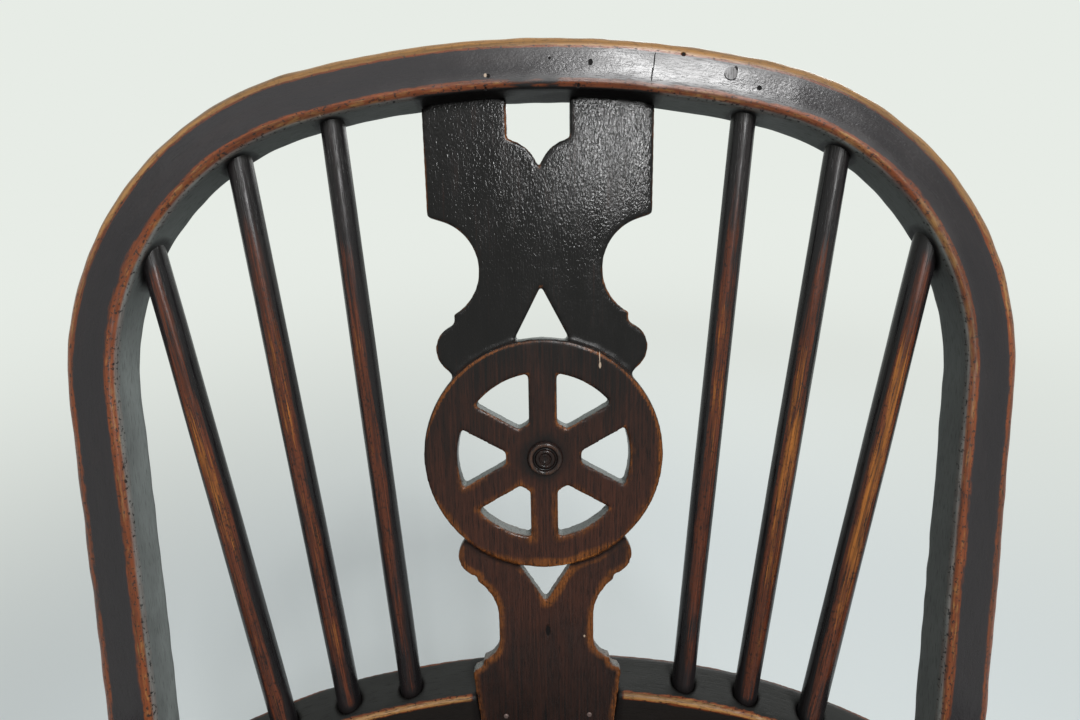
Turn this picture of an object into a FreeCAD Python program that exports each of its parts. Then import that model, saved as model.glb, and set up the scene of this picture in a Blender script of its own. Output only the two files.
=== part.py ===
"""Wheel-splat double-bow armchair, one solid for each separate piece of wood or iron.

The chair faces -Y, its back is towards +Y, +X is on the right of someone who looks at its
front, and +Z is up from the floor. "Left" and "right" are the sides seen from the front.
While the pieces are made, Y is measured from the splat's face at the top of the arm bow.
At the end the whole chair is moved along Y, so that the origin is under its middle.
All lengths are in millimetres and all angles in degrees.
"""
import FreeCAD
import Part

import math
import os

Vector = FreeCAD.Vector

# Heights above the floor
SEAT_TOP = 436.0
SEAT_THICK = 42.0
ARM_TOP = 668.0

# Arm bow: a flat bend with its centre line at ARM_BACK_Y behind the splat's face
ARM_THICK = 25.0
ARM_WIDTH = 27.4
ARM_BACK_Y = 15.7
ARM_CROWN_R = 436.0
ARM_CROWN_ANGLE = 13.5
ARM_SHOULDER_R = 226.0
ARM_SIDE_ANGLE = 84.0
ARM_ARRIS = 2.2
HAND_LENGTH = 98.0
HAND_SWELL = 14.0

# Back bow: bent in a plane that leans back from the arm bow
BOW_LEAN = 19.6
BOW_RISE = 352.8
BOW_CROWN_R = 458.0
BOW_CROWN_ANGLE = 14.16
BOW_SHOULDER_R = 134.0
BOW_SIDE_ANGLE = 94.05
BOW_WIDTH = 24.0
BOW_DEPTH = 19.0
BOW_OUTER_ARRIS = 5.0
BOW_ARRIS = 3.0
BOW_TENON_R = 8.5

# Splat: one board, with its wheel left standing in relief
SPLAT_LEAN = 12.0
SPLAT_THICK = 6.5
SPLAT_HALF = 56.2
TONGUE_IN = 3.5
TONGUE_DEPTH = 9.0
WHEEL_RISE = 147.6
WHEEL_R = 64.0
WHEEL_RELIEF = 2.6
WHEEL_ROUNDING = 1.2
RIM_INNER_R = 46.2
HUB_R = 20.3
SPOKE_WIDTH = 15.0
SPLAT_FOOT_HALF = 31.0
SEAT_MORTISE_DEPTH = 20.0

# Turned boss on the hub
BOSS_R = 9.2
BOSS_BASE = 1.5
BOSS_X = 0.8
BOSS_PIN_R = 3.2

# Sticks: X of each one at the arm bow and at the back bow, or at the seat and the arm bow
LONG_STICKS = ((81.6, 99.6), (115.9, 145.4), (147.6, 190.2))
STICK_SEAT_R = 6.9
STICK_ARM_R = 6.6
STICK_MIDDLE_R = 6.4
STICK_TOP_R = 5.8
STICK_SEAT_DEPTH = 25.0
STICK_TOP_DEPTH = 14.0
SHORT_STICKS = (((146.0, -93.0), 222.0), ((182.0, -130.0), 248.0), ((207.0, -176.0), 264.5))
SHORT_STICK_R = 7.0
SHORT_STICK_END_R = 5.8
SHORT_SEAT_DEPTH = 22.0
SHORT_ARM_DEPTH = 15.0

# Seat plank
SEAT_EDGE_ROUND = 5.0
SEAT_BEVEL = 13.0
SADDLE_DEPTH = 14.0
SADDLE_HALF_X = 222.0
SADDLE_HALF_Y = 172.0
SADDLE_MIDDLE_Y = -252.0
SADDLE_POWER = 2.6
POMMEL_HEIGHT = 7.0
POMMEL_WIDTH = 34.0

# Legs: centres of the seat sockets and of the feet, on the right side
FRONT_SOCKET = (180.0, -352.0)
FRONT_FOOT = (228.0, -410.0)
BACK_SOCKET = (128.0, -104.0)
BACK_FOOT = (186.0, -18.0)
LEG_SOCKET_DEPTH = 30.0
SIDE_STRETCHER_Z = 178.0
STRETCHER_TENON = 14.0

# Arm supports: foot on the seat and top in the arm bow's side run
SUPPORT_SEAT = (230.0, -236.0)
SUPPORT_RUN = 28.0
SUPPORT_SEAT_DEPTH = 28.0
SUPPORT_TENON_R = 8.5

# Small fastenings
NAIL_X = 24.5
NAIL_RISE = -12.5
NAIL_HEAD_R = 1.5
NAIL_R = 0.9
NAIL_LENGTH = 19.0
PEG_R = 2.9
PEG_DEPTH = 11.0
PEG_X = 88.5
FOOT_PEG_R = 3.0
FOOT_PEG_LENGTH = 20.0
WEDGE_THICK = 2.4
WEDGE_DEPTH = 14.0

BIG = 2000.0
GROUPED = ("splat_nails", "bow_foot_pegs", "arm_wedges")


class Bend:
    """Half of a bow's bend: a flat crown arc that runs into a tighter shoulder arc.

    A place on it is given by the angle that the bow has turned from the crown's middle,
    as how far it lies to the side and how far it has dropped from the crown's middle.
    """

    def __init__(self, crown_r, crown_angle, shoulder_r, end_angle):
        self.crown_r = crown_r
        self.crown = math.radians(crown_angle)
        self.shoulder_r = shoulder_r
        self.end = math.radians(end_angle)
        self.centre_x = (crown_r - shoulder_r) * math.sin(self.crown)
        self.centre_drop = crown_r - (crown_r - shoulder_r) * math.cos(self.crown)

    def at(self, angle, offset=0.0):
        if angle <= self.crown:
            r = self.crown_r + offset
            return r * math.sin(angle), self.crown_r - r * math.cos(angle)
        r = self.shoulder_r + offset
        return self.centre_x + r * math.sin(angle), self.centre_drop - r * math.cos(angle)

    def angle_at(self, x):
        if x <= self.crown_r * math.sin(self.crown):
            return math.asin(x / self.crown_r)
        return math.asin((x - self.centre_x) / self.shoulder_r)

    def arcs(self, offset, place):
        """The crown and shoulder arcs, each point put in space by place(side, drop)."""
        stations = [0.0, self.crown / 2, self.crown]
        crown = Part.Arc(*[place(*self.at(a, offset)) for a in stations])
        stations = [self.crown, (self.crown + self.end) / 2, self.end]
        shoulder = self.shoulder_points(stations, offset, place)
        return [crown.toShape(), Part.Arc(*shoulder).toShape()]

    def shoulder_points(self, stations, offset, place):
        r = self.shoulder_r + offset
        points = []
        for a in stations:
            side = self.centre_x + r * math.sin(a)
            drop = self.centre_drop - r * math.cos(a)
            points.append(place(side, drop))
        return points


def leaning(base_y, lean):
    """Placement of a plane that leans back, from its line at the arm bow's top.

    In the plane's own frame X is across, Z is up along it and Y goes in from its face.
    """
    return FreeCAD.Placement(Vector(0, base_y, ARM_TOP), FreeCAD.Rotation(Vector(1, 0, 0), -lean))


def line(a, b):
    return Part.LineSegment(a, b).toShape()


def both_sides(half):
    """A solid made of a right half and its mirror image across X = 0."""
    return half.fuse(mirrored(half)).removeSplitter()


def mirrored(shape):
    return shape.mirror(Vector(0, 0, 0), Vector(1, 0, 0))


def slab(z_low, z_high):
    """Everything between two heights."""
    return Part.makeBox(BIG, BIG, z_high - z_low, Vector(-BIG / 2, -BIG / 2, z_low))


def profile_wire(start, steps):
    """Closed wire in the XZ plane from steps (x, z) or, for arcs, (via_x, via_z, x, z)."""
    here = Vector(start[0], 0, start[1])
    edges = []
    for step in steps:
        there = Vector(step[-2], 0, step[-1])
        if len(step) == 4:
            via = Vector(step[0], 0, step[1])
            edges.append(Part.Arc(here, via, there).toShape())
        else:
            edges.append(line(here, there))
        here = there
    edges.append(line(here, Vector(start[0], 0, start[1])))
    return Part.Wire(edges)


def board(start, steps, front, back):
    """Flat piece from an XZ outline, between two depths along Y."""
    face = Part.Face(profile_wire(start, steps))
    face.translate(Vector(0, front, 0))
    return face.extrude(Vector(0, back - front, 0))


def turned(start_r, sections):
    """Solid of revolution up the Z axis.

    Each section is (length, radius at its end, bulge): a straight or tapered stretch
    where the bulge is 0, and otherwise a bead (above 0) or a cove (below 0), which stands
    off the middle of the line between its ends by that much.
    """
    z = 0.0
    r = start_r
    edges = [line(Vector(0, 0, 0), Vector(r, 0, 0))]
    for length, end_r, bulge in sections:
        a = Vector(r, 0, z)
        b = Vector(end_r, 0, z + length)
        if bulge:
            outward = Vector(length, 0, r - end_r).normalize().multiply(bulge)
            middle = a.add(b).multiply(0.5).add(outward)
            edges.append(Part.Arc(a, middle, b).toShape())
        else:
            edges.append(line(a, b))
        z += length
        r = end_r
    edges.append(line(Vector(r, 0, z), Vector(0, 0, z)))
    edges.append(line(Vector(0, 0, z), Vector(0, 0, 0)))
    face = Part.Face(Part.Wire(edges))
    return face.revolve(Vector(0, 0, 0), Vector(0, 0, 1), 360)


def set_along(shape, start, towards):
    """Stand a shape that was made up the Z axis at start, pointing towards a place."""
    turn = FreeCAD.Rotation(Vector(0, 0, 1), towards.sub(start))
    shape.Placement = FreeCAD.Placement(start, turn)
    return shape


def rod(start, end, radius):
    return Part.makeCylinder(radius, start.distanceToPoint(end), start, end.sub(start))


def extended(start, end, z):
    """The point at height z on the line through two points."""
    step = end.sub(start)
    return start.add(step.multiply((z - start.z) / step.z))


ARM_BEND = Bend(ARM_CROWN_R, ARM_CROWN_ANGLE, ARM_SHOULDER_R, ARM_SIDE_ANGLE)
BOW_BEND = Bend(BOW_CROWN_R, BOW_CROWN_ANGLE, BOW_SHOULDER_R, BOW_SIDE_ANGLE)


def arm_point(side, drop, z=ARM_TOP):
    return Vector(side, ARM_BACK_Y - drop, z)


def arm_line(x):
    """Point over the arm bow's centre line at X, on its top face."""
    return arm_point(*ARM_BEND.at(ARM_BEND.angle_at(x)))


def arm_side(along, across, z=ARM_TOP):
    """Point on the arm bow's straight side run: along it, and out from its centre line."""
    a = ARM_BEND.end
    side, drop = ARM_BEND.at(a)
    x = side + along * math.cos(a) + across * math.sin(a)
    y = ARM_BACK_Y - drop - along * math.sin(a) + across * math.cos(a)
    return Vector(x, y, z)


def bow_foot_x():
    """X of the back bow's centre line where its straight sides meet the arm bow's top."""
    side, drop = BOW_BEND.at(BOW_BEND.end)
    run = (BOW_RISE - drop) / math.sin(BOW_BEND.end)
    return side + run * math.cos(BOW_BEND.end)


BOW_FOOT_X = bow_foot_x()
BOW_PLANE = leaning(arm_line(BOW_FOOT_X).y, BOW_LEAN)
SPLAT_PLANE = leaning(0.0, SPLAT_LEAN)


def bow_point(side, drop):
    return Vector(side, 0, BOW_RISE - drop)


def bow_line(x):
    """Point of the back bow's centre line at X, in the chair's frame."""
    local = bow_point(*BOW_BEND.at(BOW_BEND.angle_at(x)))
    return BOW_PLANE.multVec(local)


def rounded_section(width, depth, outer, inner):
    """Bow section in the YZ plane at the crown: outer edge up, front face towards -Y."""
    top = width / 2
    front = -depth / 2
    radii = (outer, inner, inner, inner)
    corners = ((front, top), (front, -top), (-front, -top), (-front, top))
    edges = []
    ends = []
    for (y, z), r in zip(corners, radii):
        centre = Vector(0, y - math.copysign(r, y), z - math.copysign(r, z))
        flat_y = Vector(0, y, centre.z)
        flat_z = Vector(0, centre.y, z)
        half = r * math.sqrt(0.5)
        via = Vector(0, centre.y + math.copysign(half, y), centre.z + math.copysign(half, z))
        entry, leave = (flat_z, flat_y) if y * z < 0 else (flat_y, flat_z)
        edges.append(Part.Arc(entry, via, leave).toShape())
        ends.append((entry, leave))
    for i in range(len(ends)):
        edges.append(line(ends[i][1], ends[(i + 1) % len(ends)][0]))
    return Part.Wire(Part.__sortEdges__(edges))


def back_bow_blank():
    """The bent bow with its round tenons, before its sockets are cut."""
    arcs = BOW_BEND.arcs(0.0, bow_point)
    side, drop = BOW_BEND.at(BOW_BEND.end)
    end = Vector(BOW_FOOT_X, 0, 0)
    below = end.add(end.sub(bow_point(side, drop)).normalize().multiply(2 * ARM_THICK))
    path = Part.Wire(arcs + [line(bow_point(side, drop), below)])
    section = rounded_section(BOW_WIDTH, BOW_DEPTH, BOW_OUTER_ARRIS, BOW_ARRIS)
    section.translate(Vector(0, 0, BOW_RISE))
    half = path.makePipeShell([section], True, False)
    half.Placement = BOW_PLANE
    half = half.cut(slab(ARM_TOP - BIG, ARM_TOP))
    foot = BOW_PLANE.multVec(end)
    low = BOW_PLANE.multVec(below)
    tenon = rod(foot, low, BOW_TENON_R)
    up = foot.sub(low).normalize().multiply(BOW_TENON_R)
    tenon = tenon.fuse(rod(foot.add(up), foot, BOW_TENON_R))
    tenon = tenon.common(slab(ARM_TOP - ARM_THICK, ARM_TOP + BOW_TENON_R))
    return both_sides(half.fuse(tenon))


def inside_back_bow():
    """The whole space inside the back bow's inner edge, for trimming the splat."""
    inner = -BOW_WIDTH / 2
    arcs = BOW_BEND.arcs(inner, bow_point)
    last = BOW_BEND.shoulder_points([BOW_BEND.end], inner, bow_point)[0]
    low = Vector(last.x, 0, -BIG / 4)
    edges = arcs + [line(last, low), line(low, Vector(0, 0, low.z))]
    edges.append(line(Vector(0, 0, low.z), bow_point(*BOW_BEND.at(0.0, inner))))
    face = Part.Face(Part.Wire(edges))
    face.translate(Vector(0, -BIG / 8, 0))
    space = face.extrude(Vector(0, BIG / 4, 0))
    space.Placement = BOW_PLANE
    return both_sides(space)


def arm_bow_whole():
    """The arm bow and its hands in one, with softened edges, before it is divided."""
    half_width = ARM_WIDTH / 2
    low = ARM_TOP - ARM_THICK

    def place(side, drop):
        return arm_point(side, drop, low)

    outer = ARM_BEND.arcs(half_width, place)
    inner = ARM_BEND.arcs(-half_width, place)
    swell = half_width + HAND_SWELL
    run = HAND_LENGTH
    hand_points = [
        arm_side(0.0, half_width, low),
        arm_side(0.30 * run, half_width + 0.42 * HAND_SWELL, low),
        arm_side(0.66 * run, swell, low),
        arm_side(0.93 * run, 0.62 * swell, low),
        arm_side(run, 0.05 * swell, low),
        arm_side(0.93 * run, -0.62 * half_width, low),
        arm_side(0.78 * run, -half_width, low),
    ]
    forward = arm_side(1.0, 0.0, low).sub(arm_side(0.0, 0.0, low))
    hand = Part.BSplineCurve()
    hand.interpolate(hand_points, InitialTangent=forward, FinalTangent=forward * -1.0)
    inner_run = line(hand_points[-1], arm_side(0.0, -half_width, low))
    outer_middle = place(*ARM_BEND.at(0.0, half_width))
    inner_middle = place(*ARM_BEND.at(0.0, -half_width))
    edges = outer + [hand.toShape(), inner_run] + inner + [line(inner_middle, outer_middle)]
    face = Part.Face(Part.Wire(Part.__sortEdges__(edges)))
    half = face.extrude(Vector(0, 0, ARM_THICK))
    level = [edge for edge in half.Edges if edge.BoundBox.ZLength < 1e-6]
    rims = [edge for edge in level if edge.BoundBox.XMax > 1e-6]
    return both_sides(half.makeFillet(ARM_ARRIS, rims))


def hand_zone():
    """Space outside the bent arm at the right hand, which the glued-on pad fills."""
    half_width = ARM_WIDTH / 2
    z = ARM_TOP - 2 * ARM_THICK
    corners = [
        arm_side(-4.0, half_width, z),
        arm_side(2 * HAND_LENGTH, half_width, z),
        arm_side(2 * HAND_LENGTH, 4 * half_width, z),
        arm_side(-4.0, 4 * half_width, z),
    ]
    wire = Part.makePolygon(corners + [corners[0]])
    return Part.Face(wire).extrude(Vector(0, 0, 4 * ARM_THICK))


def seat_outline():
    """Bell-shaped plank, tight round the back and full at the front."""
    right = [
        (76.0, -11.0), (152.0, -58.0), (216.0, -130.0), (255.0, -222.0),
        (268.0, -324.0), (251.0, -402.0), (178.0, -432.0),
    ]
    points = [Vector(0, 2.0, 0)]
    points += [Vector(x, y, 0) for x, y in right]
    points.append(Vector(0, -440.0, 0))
    points += [Vector(-x, y, 0) for x, y in reversed(right)]
    curve = Part.BSplineCurve()
    curve.interpolate(points, PeriodicFlag=True)
    return Part.Wire(curve.toShape())


def saddle_height(x, y):
    """Height of the hollowed surface: a wide dish with a low pommel at the front middle."""
    across = abs(x / SADDLE_HALF_X) ** SADDLE_POWER
    along = abs((y - SADDLE_MIDDLE_Y) / SADDLE_HALF_Y) ** SADDLE_POWER
    dish = SADDLE_DEPTH * (1.0 - across - along)
    forward = max(0.0, (SADDLE_MIDDLE_Y - y) / SADDLE_HALF_Y)
    pommel = POMMEL_HEIGHT * math.exp(-(x / POMMEL_WIDTH) ** 2) * min(1.0, forward) ** 2
    return SEAT_TOP - dish + pommel


def saddle_cutter():
    columns = 25
    rows = 21
    margin = 1.12
    half_x = SADDLE_HALF_X * margin
    half_y = SADDLE_HALF_Y * margin
    grid = []
    for i in range(columns):
        x = half_x * (2.0 * i / (columns - 1) - 1.0)
        row = []
        for j in range(rows):
            y = SADDLE_MIDDLE_Y + half_y * (2.0 * j / (rows - 1) - 1.0)
            row.append(Vector(x, y, saddle_height(x, y)))
        grid.append(row)
    surface = Part.BSplineSurface()
    surface.interpolate(grid)
    return surface.toShape().extrude(Vector(0, 0, 3 * SEAT_THICK))


def seat_blank():
    low = SEAT_TOP - SEAT_THICK
    outline = seat_outline()
    outline.translate(Vector(0, 0, low))
    plank = Part.Face(outline).extrude(Vector(0, 0, SEAT_THICK))
    under = [e for e in plank.Edges if e.BoundBox.ZMax < low + 1.0]
    plank = plank.makeChamfer(SEAT_BEVEL, under)
    over = [e for e in plank.Edges if e.BoundBox.ZMin > SEAT_TOP - 1.0]
    plank = plank.makeFillet(SEAT_EDGE_ROUND, over)
    return plank.cut(saddle_cutter())


def leg(socket, foot):
    """Turned leg, made from its top down and cut off level at the floor."""
    seat_low = Vector(socket[0], socket[1], SEAT_TOP - SEAT_THICK)
    floor = Vector(foot[0], foot[1], 0)
    top = extended(floor, seat_low, seat_low.z + LEG_SOCKET_DEPTH)
    sections = [
        (LEG_SOCKET_DEPTH + 1.0, 12.6, 0.0),
        (0.0, 14.0, 0.0),
        (66.0, 18.4, 0.8),
        (44.0, 14.6, 2.0),
        (5.0, 14.6, 2.6),
        (4.0, 14.0, -1.0),
        (12.0, 14.0, 4.4),
        (4.0, 14.6, -1.0),
        (74.0, 18.6, 2.0),
        (40.0, 17.8, 0.4),
        (30.0, 13.4, 1.0),
        (6.0, 13.4, 2.8),
        (44.0, 16.6, -1.4),
        (34.0, 15.0, 1.8),
        (70.0, 13.4, 0.0),
    ]
    solid = set_along(turned(11.8, sections), top, floor)
    return solid.cut(slab(-BIG, 0.0))


def leg_axis(socket, foot, z):
    seat_low = Vector(socket[0], socket[1], SEAT_TOP - SEAT_THICK)
    return extended(Vector(foot[0], foot[1], 0), seat_low, z)


def stretcher(start, end, start_r, end_r):
    """Turned rail between two axes, tenoned into what it meets at either end.

    start_r and end_r are the radii of the pieces that it enters.
    """
    length = start.distanceToPoint(end)
    bare_start = start_r - STRETCHER_TENON
    bare_end = end_r - STRETCHER_TENON
    body = length - start_r - end_r
    middle = [(5.0, 14.2, 2.0), (36.0, 14.2, 2.2), (5.0, 14.2, 2.0)]
    taper = (body - sum(section[0] for section in middle)) / 2
    sections = [(STRETCHER_TENON, 8.0, 0.0), (0.0, 9.0, 0.0), (taper, 14.2, 0.6)]
    sections += middle
    sections += [(taper, 9.0, 0.6), (0.0, 8.0, 0.0), (STRETCHER_TENON, 7.4, 0.0)]
    along = end.sub(start).normalize()
    first = start.add(Vector(along).multiply(bare_start))
    last = end.sub(Vector(along).multiply(bare_end))
    return set_along(turned(7.4, sections), first, last)


def arm_support():
    """Turned arm support with a round tenon through the arm and another in the seat."""
    top = arm_side(SUPPORT_RUN, 0.0, ARM_TOP)
    seat_line = Vector(SUPPORT_SEAT[0], SUPPORT_SEAT[1], SEAT_TOP)
    low = extended(seat_line, top, SEAT_TOP - SUPPORT_SEAT_DEPTH)
    scale = top.distanceToPoint(low) / (ARM_TOP - SEAT_TOP + SUPPORT_SEAT_DEPTH)
    tenon = (ARM_THICK + 0.5) * scale
    body = top.distanceToPoint(low) - tenon - SUPPORT_SEAT_DEPTH * scale
    foot = [(14.0, 12.4, 3.4), (4.0, 11.6, -0.8)]
    rings = [(3.0, 12.2, -1.0), (8.0, 12.2, 3.0), (3.0, 12.2, -1.0)]
    neck = [(5.0, 11.0, 2.2), (9.0, 12.6, 0.0)]
    vase = (body - sum(section[0] for section in foot + rings + neck)) / 2
    sections = [(SUPPORT_SEAT_DEPTH * scale, 10.6, 0.0), (0.0, 12.4, 0.0)]
    sections += foot + [(vase, 12.2, 4.4)] + rings + [(vase, 11.0, 2.4)] + neck
    sections += [(0.0, SUPPORT_TENON_R, 0.0), (1.5 * tenon, SUPPORT_TENON_R, 0.0)]
    solid = set_along(turned(9.8, sections), low, top)
    return solid.cut(slab(ARM_TOP, BIG))


def arm_wedge():
    """Thin wedge driven across the support's tenon, flush with the arm's top."""
    top = arm_side(SUPPORT_RUN, 0.0, ARM_TOP)
    half = SUPPORT_TENON_R - 0.6
    thick = WEDGE_THICK / 2
    steps = [(thick, 0.0), (0.3, -WEDGE_DEPTH), (-0.3, -WEDGE_DEPTH)]
    wedge = board((-thick, 0.0), steps, -half, half)
    turn = FreeCAD.Rotation(Vector(0, 0, 1), 90.0 - ARM_SIDE_ANGLE + 90.0)
    wedge.Placement = FreeCAD.Placement(top, turn)
    return wedge


def long_stick(arm_x, bow_x):
    """One stick from the seat, through the arm bow, into the back bow."""
    at_arm = arm_line(arm_x)
    at_bow = bow_line(bow_x)
    low = extended(at_arm, at_bow, SEAT_TOP - STICK_SEAT_DEPTH)
    along = Vector(at_bow).sub(at_arm).normalize()
    high = at_bow.add(Vector(along).multiply(STICK_TOP_DEPTH - BOW_WIDTH / 2))
    length = low.distanceToPoint(high)
    arm_at = low.distanceToPoint(at_arm)
    middle_at = (arm_at + length) / 2
    profile = Part.BSplineCurve()
    profile.interpolate([
        Vector(STICK_SEAT_R, 0, 0),
        Vector(STICK_ARM_R, 0, arm_at),
        Vector(STICK_MIDDLE_R, 0, middle_at),
        Vector(STICK_TOP_R, 0, length),
    ])
    edges = [
        line(Vector(0, 0, 0), Vector(STICK_SEAT_R, 0, 0)),
        profile.toShape(),
        line(Vector(STICK_TOP_R, 0, length), Vector(0, 0, length)),
        line(Vector(0, 0, length), Vector(0, 0, 0)),
    ]
    face = Part.Face(Part.Wire(edges))
    solid = face.revolve(Vector(0, 0, 0), Vector(0, 0, 1), 360)
    return set_along(solid, low, high)


def short_stick(seat_xy, arm_x):
    """Stick under the arm, in blind sockets at both ends."""
    top_line = arm_line(arm_x)
    seat_line = Vector(seat_xy[0], seat_xy[1], SEAT_TOP)
    low = extended(seat_line, top_line, SEAT_TOP - SHORT_SEAT_DEPTH)
    high = extended(seat_line, top_line, ARM_TOP - ARM_THICK + SHORT_ARM_DEPTH)
    length = low.distanceToPoint(high)
    swell = SHORT_STICK_R - SHORT_STICK_END_R
    sections = [(length, SHORT_STICK_END_R, swell)]
    return set_along(turned(SHORT_STICK_END_R, sections), low, high)


def splat_upper_half():
    """Right half of the board from inside the wheel up past the back bow's underside."""
    start = (0.0, WHEEL_RISE + 30.0)
    steps = [
        (36.0, WHEEL_RISE + 30.0),
        (49.5, 195.2),
        (55.1, 206.0, 46.4, 218.5),
        (44.9, 220.4),
        (44.9, 224.4),
        (31.45, 248.0, 50.0, 271.2),
        (54.6, 272.6),
        (55.9, 273.3, SPLAT_HALF, 275.0),
        (SPLAT_HALF, 400.0),
        (0.0, 400.0),
    ]
    return board(start, steps, 0.0, SPLAT_THICK)


def splat_lower_half():
    """Right half of the board from inside the wheel down into the seat."""
    seat_rise = (SEAT_TOP - ARM_TOP) / math.cos(math.radians(SPLAT_LEAN))
    waist_low = seat_rise + 78.0
    start = (0.0, WHEEL_RISE - 30.0)
    steps = [
        (0.0, seat_rise - SEAT_MORTISE_DEPTH),
        (SPLAT_FOOT_HALF - 7.0, seat_rise - SEAT_MORTISE_DEPTH),
        (SPLAT_FOOT_HALF - 7.0, seat_rise - 3.0),
        (SPLAT_FOOT_HALF, seat_rise - 3.0),
        (SPLAT_FOOT_HALF, seat_rise + 12.0),
        (22.6, seat_rise + 34.0, 17.5, waist_low),
        (18.4, waist_low + 22.0, 27.5, waist_low + 38.0),
        (33.4, waist_low + 52.0, 27.5, waist_low + 66.0),
        (27.5, waist_low + 69.0),
        (30.5, waist_low + 69.0),
        (36.4, -40.0, 39.4, -17.0),
        (42.9, 14.5),
        (42.3, 17.2, 40.4, 18.9),
        (37.6, 20.2, 36.6, 21.8),
        (36.6, 24.7),
        (29.4, 29.8, 27.0, 38.0),
        (27.0, 50.0),
        (30.0, 64.0, 38.3, 74.2),
        (38.5, 77.3),
        (47.9, 85.8, 46.0, 97.0),
        (36.0, WHEEL_RISE - 30.0),
    ]
    return board(start, steps, 0.0, SPLAT_THICK)


def splat_piercings():
    """Keyhole under the back bow, pointed openings by the wheel, and the lower fret."""
    back = 3 * SPLAT_THICK
    front = -back
    keyhole = board((0.0, 295.4), [
        (4.3, 303.4, 15.3, 309.4),
        (15.3, 380.0),
        (0.0, 380.0),
    ], front, back)
    above = board((0.0, 238.2), [
        (15.2, 209.0),
        (0.0, 209.0),
    ], front, back)
    below = board((0.0, 61.2), [
        (15.9, 86.5),
        (0.0, 86.5),
    ], front, back)
    drop = board((0.0, -118.0), [
        (6.5, -112.0, 7.5, -103.0),
        (6.6, -94.0, 2.6, -84.0),
        (1.0, -76.0, 0.0, -66.0),
    ], front, back)
    return [both_sides(part) for part in (keyhole, above, below, drop)]


def wheel():
    """Solid wheel disc with a rounded face edge, and the cutter for its six openings."""
    disc = Part.makeCylinder(WHEEL_R, WHEEL_RELIEF + SPLAT_THICK)
    face_edge = [e for e in disc.Edges if e.BoundBox.ZMax < 1e-6 and e.Length > WHEEL_R]
    disc = disc.makeFillet(WHEEL_ROUNDING, face_edge)
    depth = 4 * SPLAT_THICK
    ring = Part.makeCylinder(RIM_INNER_R, depth).cut(Part.makeCylinder(HUB_R, depth))
    for k in range(3):
        bar = Part.makeBox(SPOKE_WIDTH, 4 * WHEEL_R, depth)
        bar.translate(Vector(-SPOKE_WIDTH / 2, -2 * WHEEL_R, 0))
        bar.rotate(Vector(0, 0, 0), Vector(0, 0, 1), 60.0 * k)
        ring = ring.cut(bar)
    ring.translate(Vector(0, 0, -SPLAT_THICK))
    lie_down = FreeCAD.Rotation(Vector(1, 0, 0), -90.0)
    place = FreeCAD.Placement(Vector(0, -WHEEL_RELIEF, WHEEL_RISE), lie_down)
    disc.Placement = place
    ring.Placement = place.multiply(ring.Placement)
    return disc, ring


def splat_tongues():
    """Two tongues at the top of the board, which fill the back bow's mortises."""
    inner_x = 15.3 + TONGUE_IN
    outer_x = SPLAT_HALF - TONGUE_IN
    ratio = math.cos(math.radians(BOW_LEAN)) / math.cos(math.radians(SPLAT_LEAN))
    top = (BOW_RISE - BOW_WIDTH / 2) * ratio + TONGUE_DEPTH
    low = top - 3 * TONGUE_DEPTH
    steps = [(outer_x, low), (outer_x, top), (inner_x, top)]
    return both_sides_apart(board((inner_x, low), steps, 0.0, SPLAT_THICK))


def both_sides_apart(shape):
    return [shape, mirrored(shape)]


def splat():
    disc, openings = wheel()
    body = both_sides(splat_upper_half()).fuse(both_sides(splat_lower_half()))
    body = body.fuse(disc)
    for piercing in splat_piercings():
        body = body.cut(piercing)
    body = body.cut(openings).fuse(disc.cut(openings))
    hole_start = Vector(BOSS_X, -BIG / 8, WHEEL_RISE)
    body = body.cut(Part.makeCylinder(BOSS_PIN_R, BIG / 4, hole_start, Vector(0, 1, 0)))
    body.Placement = SPLAT_PLANE
    body = body.common(inside_back_bow())
    for tongue in splat_tongues():
        tongue.Placement = SPLAT_PLANE
        body = body.fuse(tongue)
    return body.removeSplitter()


def wheel_boss():
    """Turned button: a fat outer ring, a groove, an inner ring and a dimpled middle."""
    sections = [
        (WHEEL_RELIEF + SPLAT_THICK, BOSS_PIN_R, 0.0),
        (0.0, BOSS_R, 0.0),
        (BOSS_BASE, BOSS_R, 0.3),
        (0.3, 6.4, 1.3),
        (0.2, 5.3, -0.45),
        (0.1, 3.0, 0.9),
        (-0.1, 2.2, -0.3),
        (-0.3, 1.2, 0.1),
    ]
    solid = turned(BOSS_PIN_R, sections)
    solid.Placement = facing_out(BOSS_X, SPLAT_THICK, WHEEL_RISE)
    return solid


def facing_out(x, depth, rise):
    """Placement that points a turned piece out of the splat's face."""
    turn = FreeCAD.Rotation(Vector(1, 0, 0), 90.0)
    return SPLAT_PLANE.multiply(FreeCAD.Placement(Vector(x, depth, rise), turn))


def splat_nail(x):
    """Round-headed nail through the splat's face into the arm bow."""
    sections = [
        (NAIL_LENGTH, NAIL_R, 0.0),
        (0.0, NAIL_HEAD_R, 0.0),
        (0.3, NAIL_HEAD_R, 0.0),
        (0.45, 0.5, 0.18),
    ]
    solid = turned(NAIL_R * 0.5, sections)
    solid.Placement = facing_out(x, NAIL_LENGTH, NAIL_RISE)
    return solid


def bow_peg():
    """Small round peg let into the back bow's face over the first right-hand stick."""
    angle = BOW_BEND.angle_at(PEG_X)
    centre = bow_point(*BOW_BEND.at(angle, 1.0))
    start = Vector(centre.x, -BOW_DEPTH / 2, centre.z)
    end = Vector(centre.x, -BOW_DEPTH / 2 + PEG_DEPTH, centre.z)
    solid = rod(start, end, PEG_R)
    solid.Placement = BOW_PLANE
    return solid


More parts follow.
